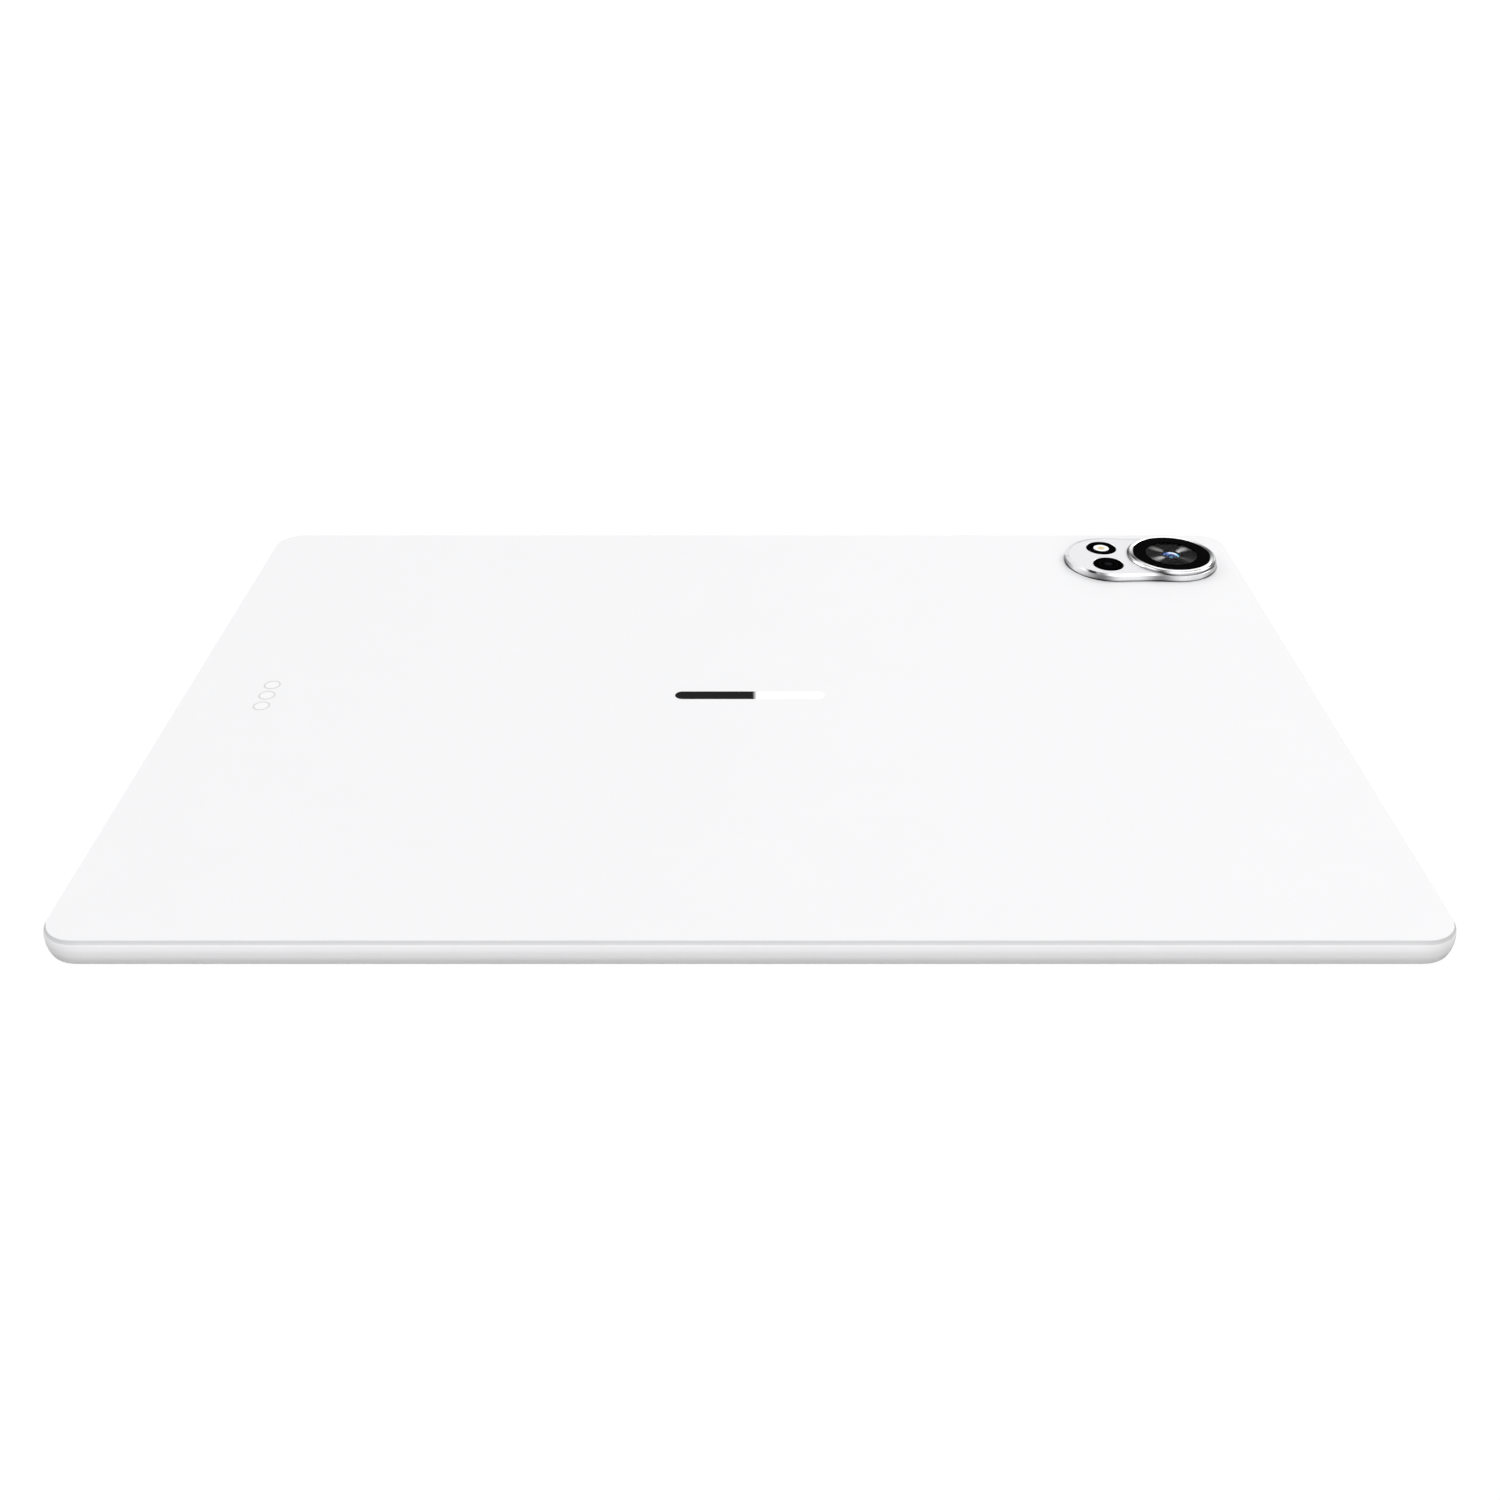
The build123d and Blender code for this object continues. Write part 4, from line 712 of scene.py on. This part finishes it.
def inside(graph, low, high, blur):
    """Share inside a flat rectangle, from its two corners in metres."""
    x, y, _ = graph.split(graph.place())
    share = 1.0
    for value, start, end in ((x, low[0], high[0]), (y, low[1], high[1])):
        share = graph.product(
            share,
            graph.ramp(value, start - blur, start + blur),
            graph.ramp(value, end - blur, end + blur, 1.0, 0.0),
        )
    return share


def lens_mask(graph):
    """The black print round the main camera's opening."""
    edge = rim_radius("main_lens_spun_disc")
    radius = graph.radius_from(middle("main_lens_spun_disc"))
    return graph.ramp(radius, edge - 0.25 * MM, edge - 0.1 * MM)


# The screen's black border over the panel's edge, and the clear holes in it
PANEL_BORDER = Vector((1.2 * MM, 2.0 * MM, 0))
FRONT_LENS_INSET = 1.6 * MM
FRONT_LENS_HOLE = 1.3 * MM
SENSOR_HOLE = 0.5 * MM
PRINT_BLUR = 0.05 * MM


def screen_mask(graph):
    """The black print round the screen, with clear holes for the camera and the light sensor."""
    low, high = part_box("lcd_panel")
    clear = inside(graph, low + PANEL_BORDER, high - PANEL_BORDER, PRINT_BLUR)
    lens = middle("front_camera_module")
    lens.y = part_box("front_camera_module")[1].y - FRONT_LENS_INSET
    for centre, hole in ((lens, FRONT_LENS_HOLE), (middle("light_sensor"), SENSOR_HOLE)):
        radius = graph.radius_from(centre)
        share = graph.ramp(radius, hole - PRINT_BLUR, hole + PRINT_BLUR, 1.0, 0.0)
        clear = graph.math("MAXIMUM", clear, share)
    return graph.rest(clear)


finishes["lens_window"] = clear_glass(
    "lens_window_finish", (0.985, 0.98, 0.975), 1.02, lens_mask, PRINT_BLACK
)
finishes["front_glass"] = clear_glass(
    "front_glass_finish", (0.97, 0.98, 0.98), 1.45, screen_mask, (0.004, 0.004, 0.005)
)


def flash_diffuser(name):
    """Milky flash lens: rings moulded into it, and the yellow of the lamp in the middle."""
    material, graph = new_material(name)
    radius = graph.radius_from(middle("flash_lens"))
    rings = ripples(graph, radius, 0.4 * MM)
    milk = graph.mix(rings, rgb(0.94, 0.94, 0.93), rgb(0.96, 0.96, 0.95))
    lamp = graph.ramp(radius, 0.45 * MM, 1.45 * MM, 1.0, 0.0)
    shade(
        graph,
        {
            "Base Color": graph.mix(lamp, milk, rgb(0.68, 0.50, 0.22)),
            "Roughness": graph.ramp(rings, 0.0, 1.0, 0.18, 0.32, smooth=False),
            "Subsurface Weight": 0.2,
            "Subsurface Scale": 0.5 * MM,
        },
        rings,
        0.003 * MM,
    )
    return material


# The contact strips' pitch, where they start in mm from the tongue's root, and where the row ends
CONTACT_PITCH = 0.5 * MM
CONTACT_START = (0.9, 1.0)
CONTACT_ROW_END = (2.9 * MM, 3.0 * MM)


def usb_tongue(name):
    """Black tongue with a row of gold contact strips."""
    material, graph = new_material(name)
    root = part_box("usb_c_tongue")[0].x
    x, y, _ = graph.split(graph.place())
    wave = graph.math("COSINE", graph.math("MULTIPLY", y, math.tau / CONTACT_PITCH))
    strip = graph.product(
        graph.ramp(wave, 0.0, 0.3),
        graph.ramp(x, *above(root, CONTACT_START)),
        graph.ramp(graph.math("ABSOLUTE", y), *CONTACT_ROW_END, 1.0, 0.0),
    )
    shade(
        graph,
        {
            "Base Color": graph.mix(strip, rgb(0.02, 0.02, 0.02), rgb(0.90, 0.66, 0.28)),
            "Roughness": graph.ramp(strip, 0.0, 1.0, 0.5, 0.25, smooth=False),
            "Metallic": strip,
        },
        strip,
        0.01 * MM,
    )
    return material


finishes["flash_diffuser"] = flash_diffuser("flash_diffuser_finish")
finishes["usb_tongue"] = usb_tongue("usb_tongue_finish")

for piece in nodes.values():
    for holder in piece.material_slots:
        holder.material = finishes[holder.material.name.split(".")[0]]

# ---------------------------------------------------------------------------------------------
# Studio

FLOOR_SIDE = 12.0
FLOOR_DROP = 0.05 * MM
# The camera sees floor and surroundings as plain white; the tablet sees the floor as grey paper
BACKDROP = 1.05
FLOOR_GREY = 0.66
FLOOR_WHITE_SHARE = 0.93

floor_mesh = bpy.data.meshes.new("floor")
half = FLOOR_SIDE / 2
floor_mesh.from_pydata(
    [(-half, -half, 0), (half, -half, 0), (half, half, 0), (-half, half, 0)], [], [(0, 1, 2, 3)]
)
floor = bpy.data.objects.new("floor", floor_mesh)
floor.location.z = cad_box[0][2] - FLOOR_DROP
scene.collection.objects.link(floor)

floor_material, graph = new_material("floor_paper")
paper = graph.add("BsdfDiffuse", {"Color": rgb(FLOOR_GREY)})
lit = graph.add("Emission", {"Color": rgb(1.0), "Strength": BACKDROP})
seen = graph.add("LightPath").outputs["Is Camera Ray"]
sweep = graph.add("MixShader", {"Fac": graph.product(seen, FLOOR_WHITE_SHARE)})
graph.put(sweep.inputs[1], paper.outputs[0])
graph.put(sweep.inputs[2], lit.outputs[0])
one_sided = graph.add("MixShader", {"Fac": graph.add("NewGeometry").outputs["Backfacing"]})
graph.put(one_sided.inputs[1], sweep.outputs[0])
graph.put(one_sided.inputs[2], graph.add("BsdfTransparent").outputs[0])
graph.put(graph.add("OutputMaterial").inputs["Surface"], one_sided.outputs[0])
floor_mesh.materials.append(floor_material)


def direction(azimuth, elevation):
    """Unit vector: azimuth in degrees clockwise from +Y seen from above, so +X is 90."""
    a, e = math.radians(azimuth), math.radians(elevation)
    return (math.sin(a) * math.cos(e), math.cos(a) * math.cos(e), math.sin(e))


# Soft lamps in the surrounding light: azimuth, elevation, half angle of the full part and of
# the faded edge in degrees, and strength
SOFT_LAMPS = (
    (0, 80, 16, 34, 0.5),
    (-70, 32, 8, 20, 3.5),
    (60, 32, 8, 20, 3.5),
    (-135, 63, 5, 12, -0.9),
    (4, 31, 5, 9, 0.2),
)
# Brightness against height, for the side in front of the tablet and for the side behind it.
# Height, north and east are the direction's own parts along Z, Y and X, from -1 to 1.
FRONT_LIGHT = (
    (-1.0, 0.5),
    (0.0, 0.6),
    (0.2, 0.6),
    (0.4, 0.5),
    (0.65, 0.4),
    (0.85, 0.8),
    (1.0, 0.9),
)
BACK_LIGHT = (
    (-1.0, 0.5),
    (-0.3, 0.9),
    (0.0, 1.0),
    (0.35, 1.0),
    (0.65, 1.0),
    (0.85, 1.0),
    (1.0, 1.0),
)
FRONT_TO_BACK = (-0.35, 0.35)
# The light behind grows from left to right: between which easts, and from which share to which
BACK_SLOPE = (-0.55, 0.35, 0.62, 1.22)
# A long low lamp straight in front of the near side: brightness against height, and the norths
# between which it fades
LOW_LAMP = ((-0.2, 0.0), (0.0, 3.5), (0.25, 3.1), (0.45, 0.0))
LOW_LAMP_FADE = (-0.97, -0.75)
# Dark flags to the left and the right: where they start along X, the heights between which they
# end, and how much they take away
FLAG_START = (0.5, 0.8)
FLAG_TOP = (0.35, 0.6)
FLAG_STRENGTH = 0.85
# A dark panel behind the tablet, on the left: its faded left and right edges in azimuth, its
# bottom and top edges in elevation, all in degrees, and how much it takes away
PANEL_LEFT = (-6.5, -4.5)
PANEL_RIGHT = (0.1, 0.35)
PANEL_BOTTOM = (24, 27)
PANEL_TOP = (34, 37)
PANEL_STRENGTH = 0.99
LEAST_LIGHT = 0.02

world = bpy.data.worlds.new("studio_light")
scene.world = world
world.use_nodes = True
graph = Graph(world.node_tree)
toward = graph.add("TexCoord").outputs["Generated"]
east, north, up = graph.split(toward)

behind = graph.ramp(north, *FRONT_TO_BACK)
front_part = graph.product(graph.tones(up, FRONT_LIGHT), graph.rest(behind))
back_part = graph.product(graph.tones(up, BACK_LIGHT), behind, graph.ramp(east, *BACK_SLOPE))
low_lamp = graph.product(graph.tones(up, LOW_LAMP), graph.ramp(north, *LOW_LAMP_FADE, 1.0, 0.0))
light = graph.math("ADD", graph.math("ADD", front_part, back_part), low_lamp)
flags = graph.product(
    graph.ramp(graph.math("ABSOLUTE", east), *FLAG_START),
    graph.ramp(up, *FLAG_TOP, FLAG_STRENGTH, 0.0),
)
light = graph.product(light, graph.rest(flags))
for azimuth, elevation, full, edge, strength in SOFT_LAMPS:
    cosine = graph.vector("DOT_PRODUCT", toward, direction(azimuth, elevation), output=1)
    edges = math.cos(math.radians(edge)), math.cos(math.radians(full))
    light = graph.math("ADD", light, graph.ramp(cosine, *edges, 0.0, strength))
azimuth = graph.math("ARCTAN2", east, north)
panel = graph.product(
    graph.ramp(azimuth, *map(math.radians, PANEL_LEFT)),
    graph.ramp(azimuth, *map(math.radians, PANEL_RIGHT), 1.0, 0.0),
    graph.ramp(up, *(math.sin(math.radians(angle)) for angle in PANEL_BOTTOM)),
    graph.ramp(up, *(math.sin(math.radians(angle)) for angle in PANEL_TOP), 1.0, 0.0),
    PANEL_STRENGTH,
)
light = graph.product(light, graph.rest(panel))
light = graph.math("MAXIMUM", light, LEAST_LIGHT)
seen = graph.add("LightPath").outputs["Is Camera Ray"]
blend = graph.add("Mix", {"Factor": seen, "A": light, "B": BACKDROP}, data_type="FLOAT")
background = graph.add("Background", {"Color": rgb(1.0), "Strength": blend.outputs[0]})
graph.put(graph.add("OutputWorld").inputs["Surface"], background.outputs[0])
scene.view_settings.view_transform = "Standard"

CAMERA_LENS = 36.8
CAMERA_SENSOR = 36.0
CAMERA_PLACE = (0.0, -0.3139, 0.1901)
CAMERA_TILT = 57.55

camera_data = bpy.data.cameras.new("camera")
camera_data.lens = CAMERA_LENS
camera_data.sensor_width = CAMERA_SENSOR
camera_data.clip_start = 0.01
camera = bpy.data.objects.new("camera", camera_data)
camera.location = CAMERA_PLACE
camera.rotation_euler = (math.radians(CAMERA_TILT), 0.0, 0.0)
scene.collection.objects.link(camera)
scene.camera = camera
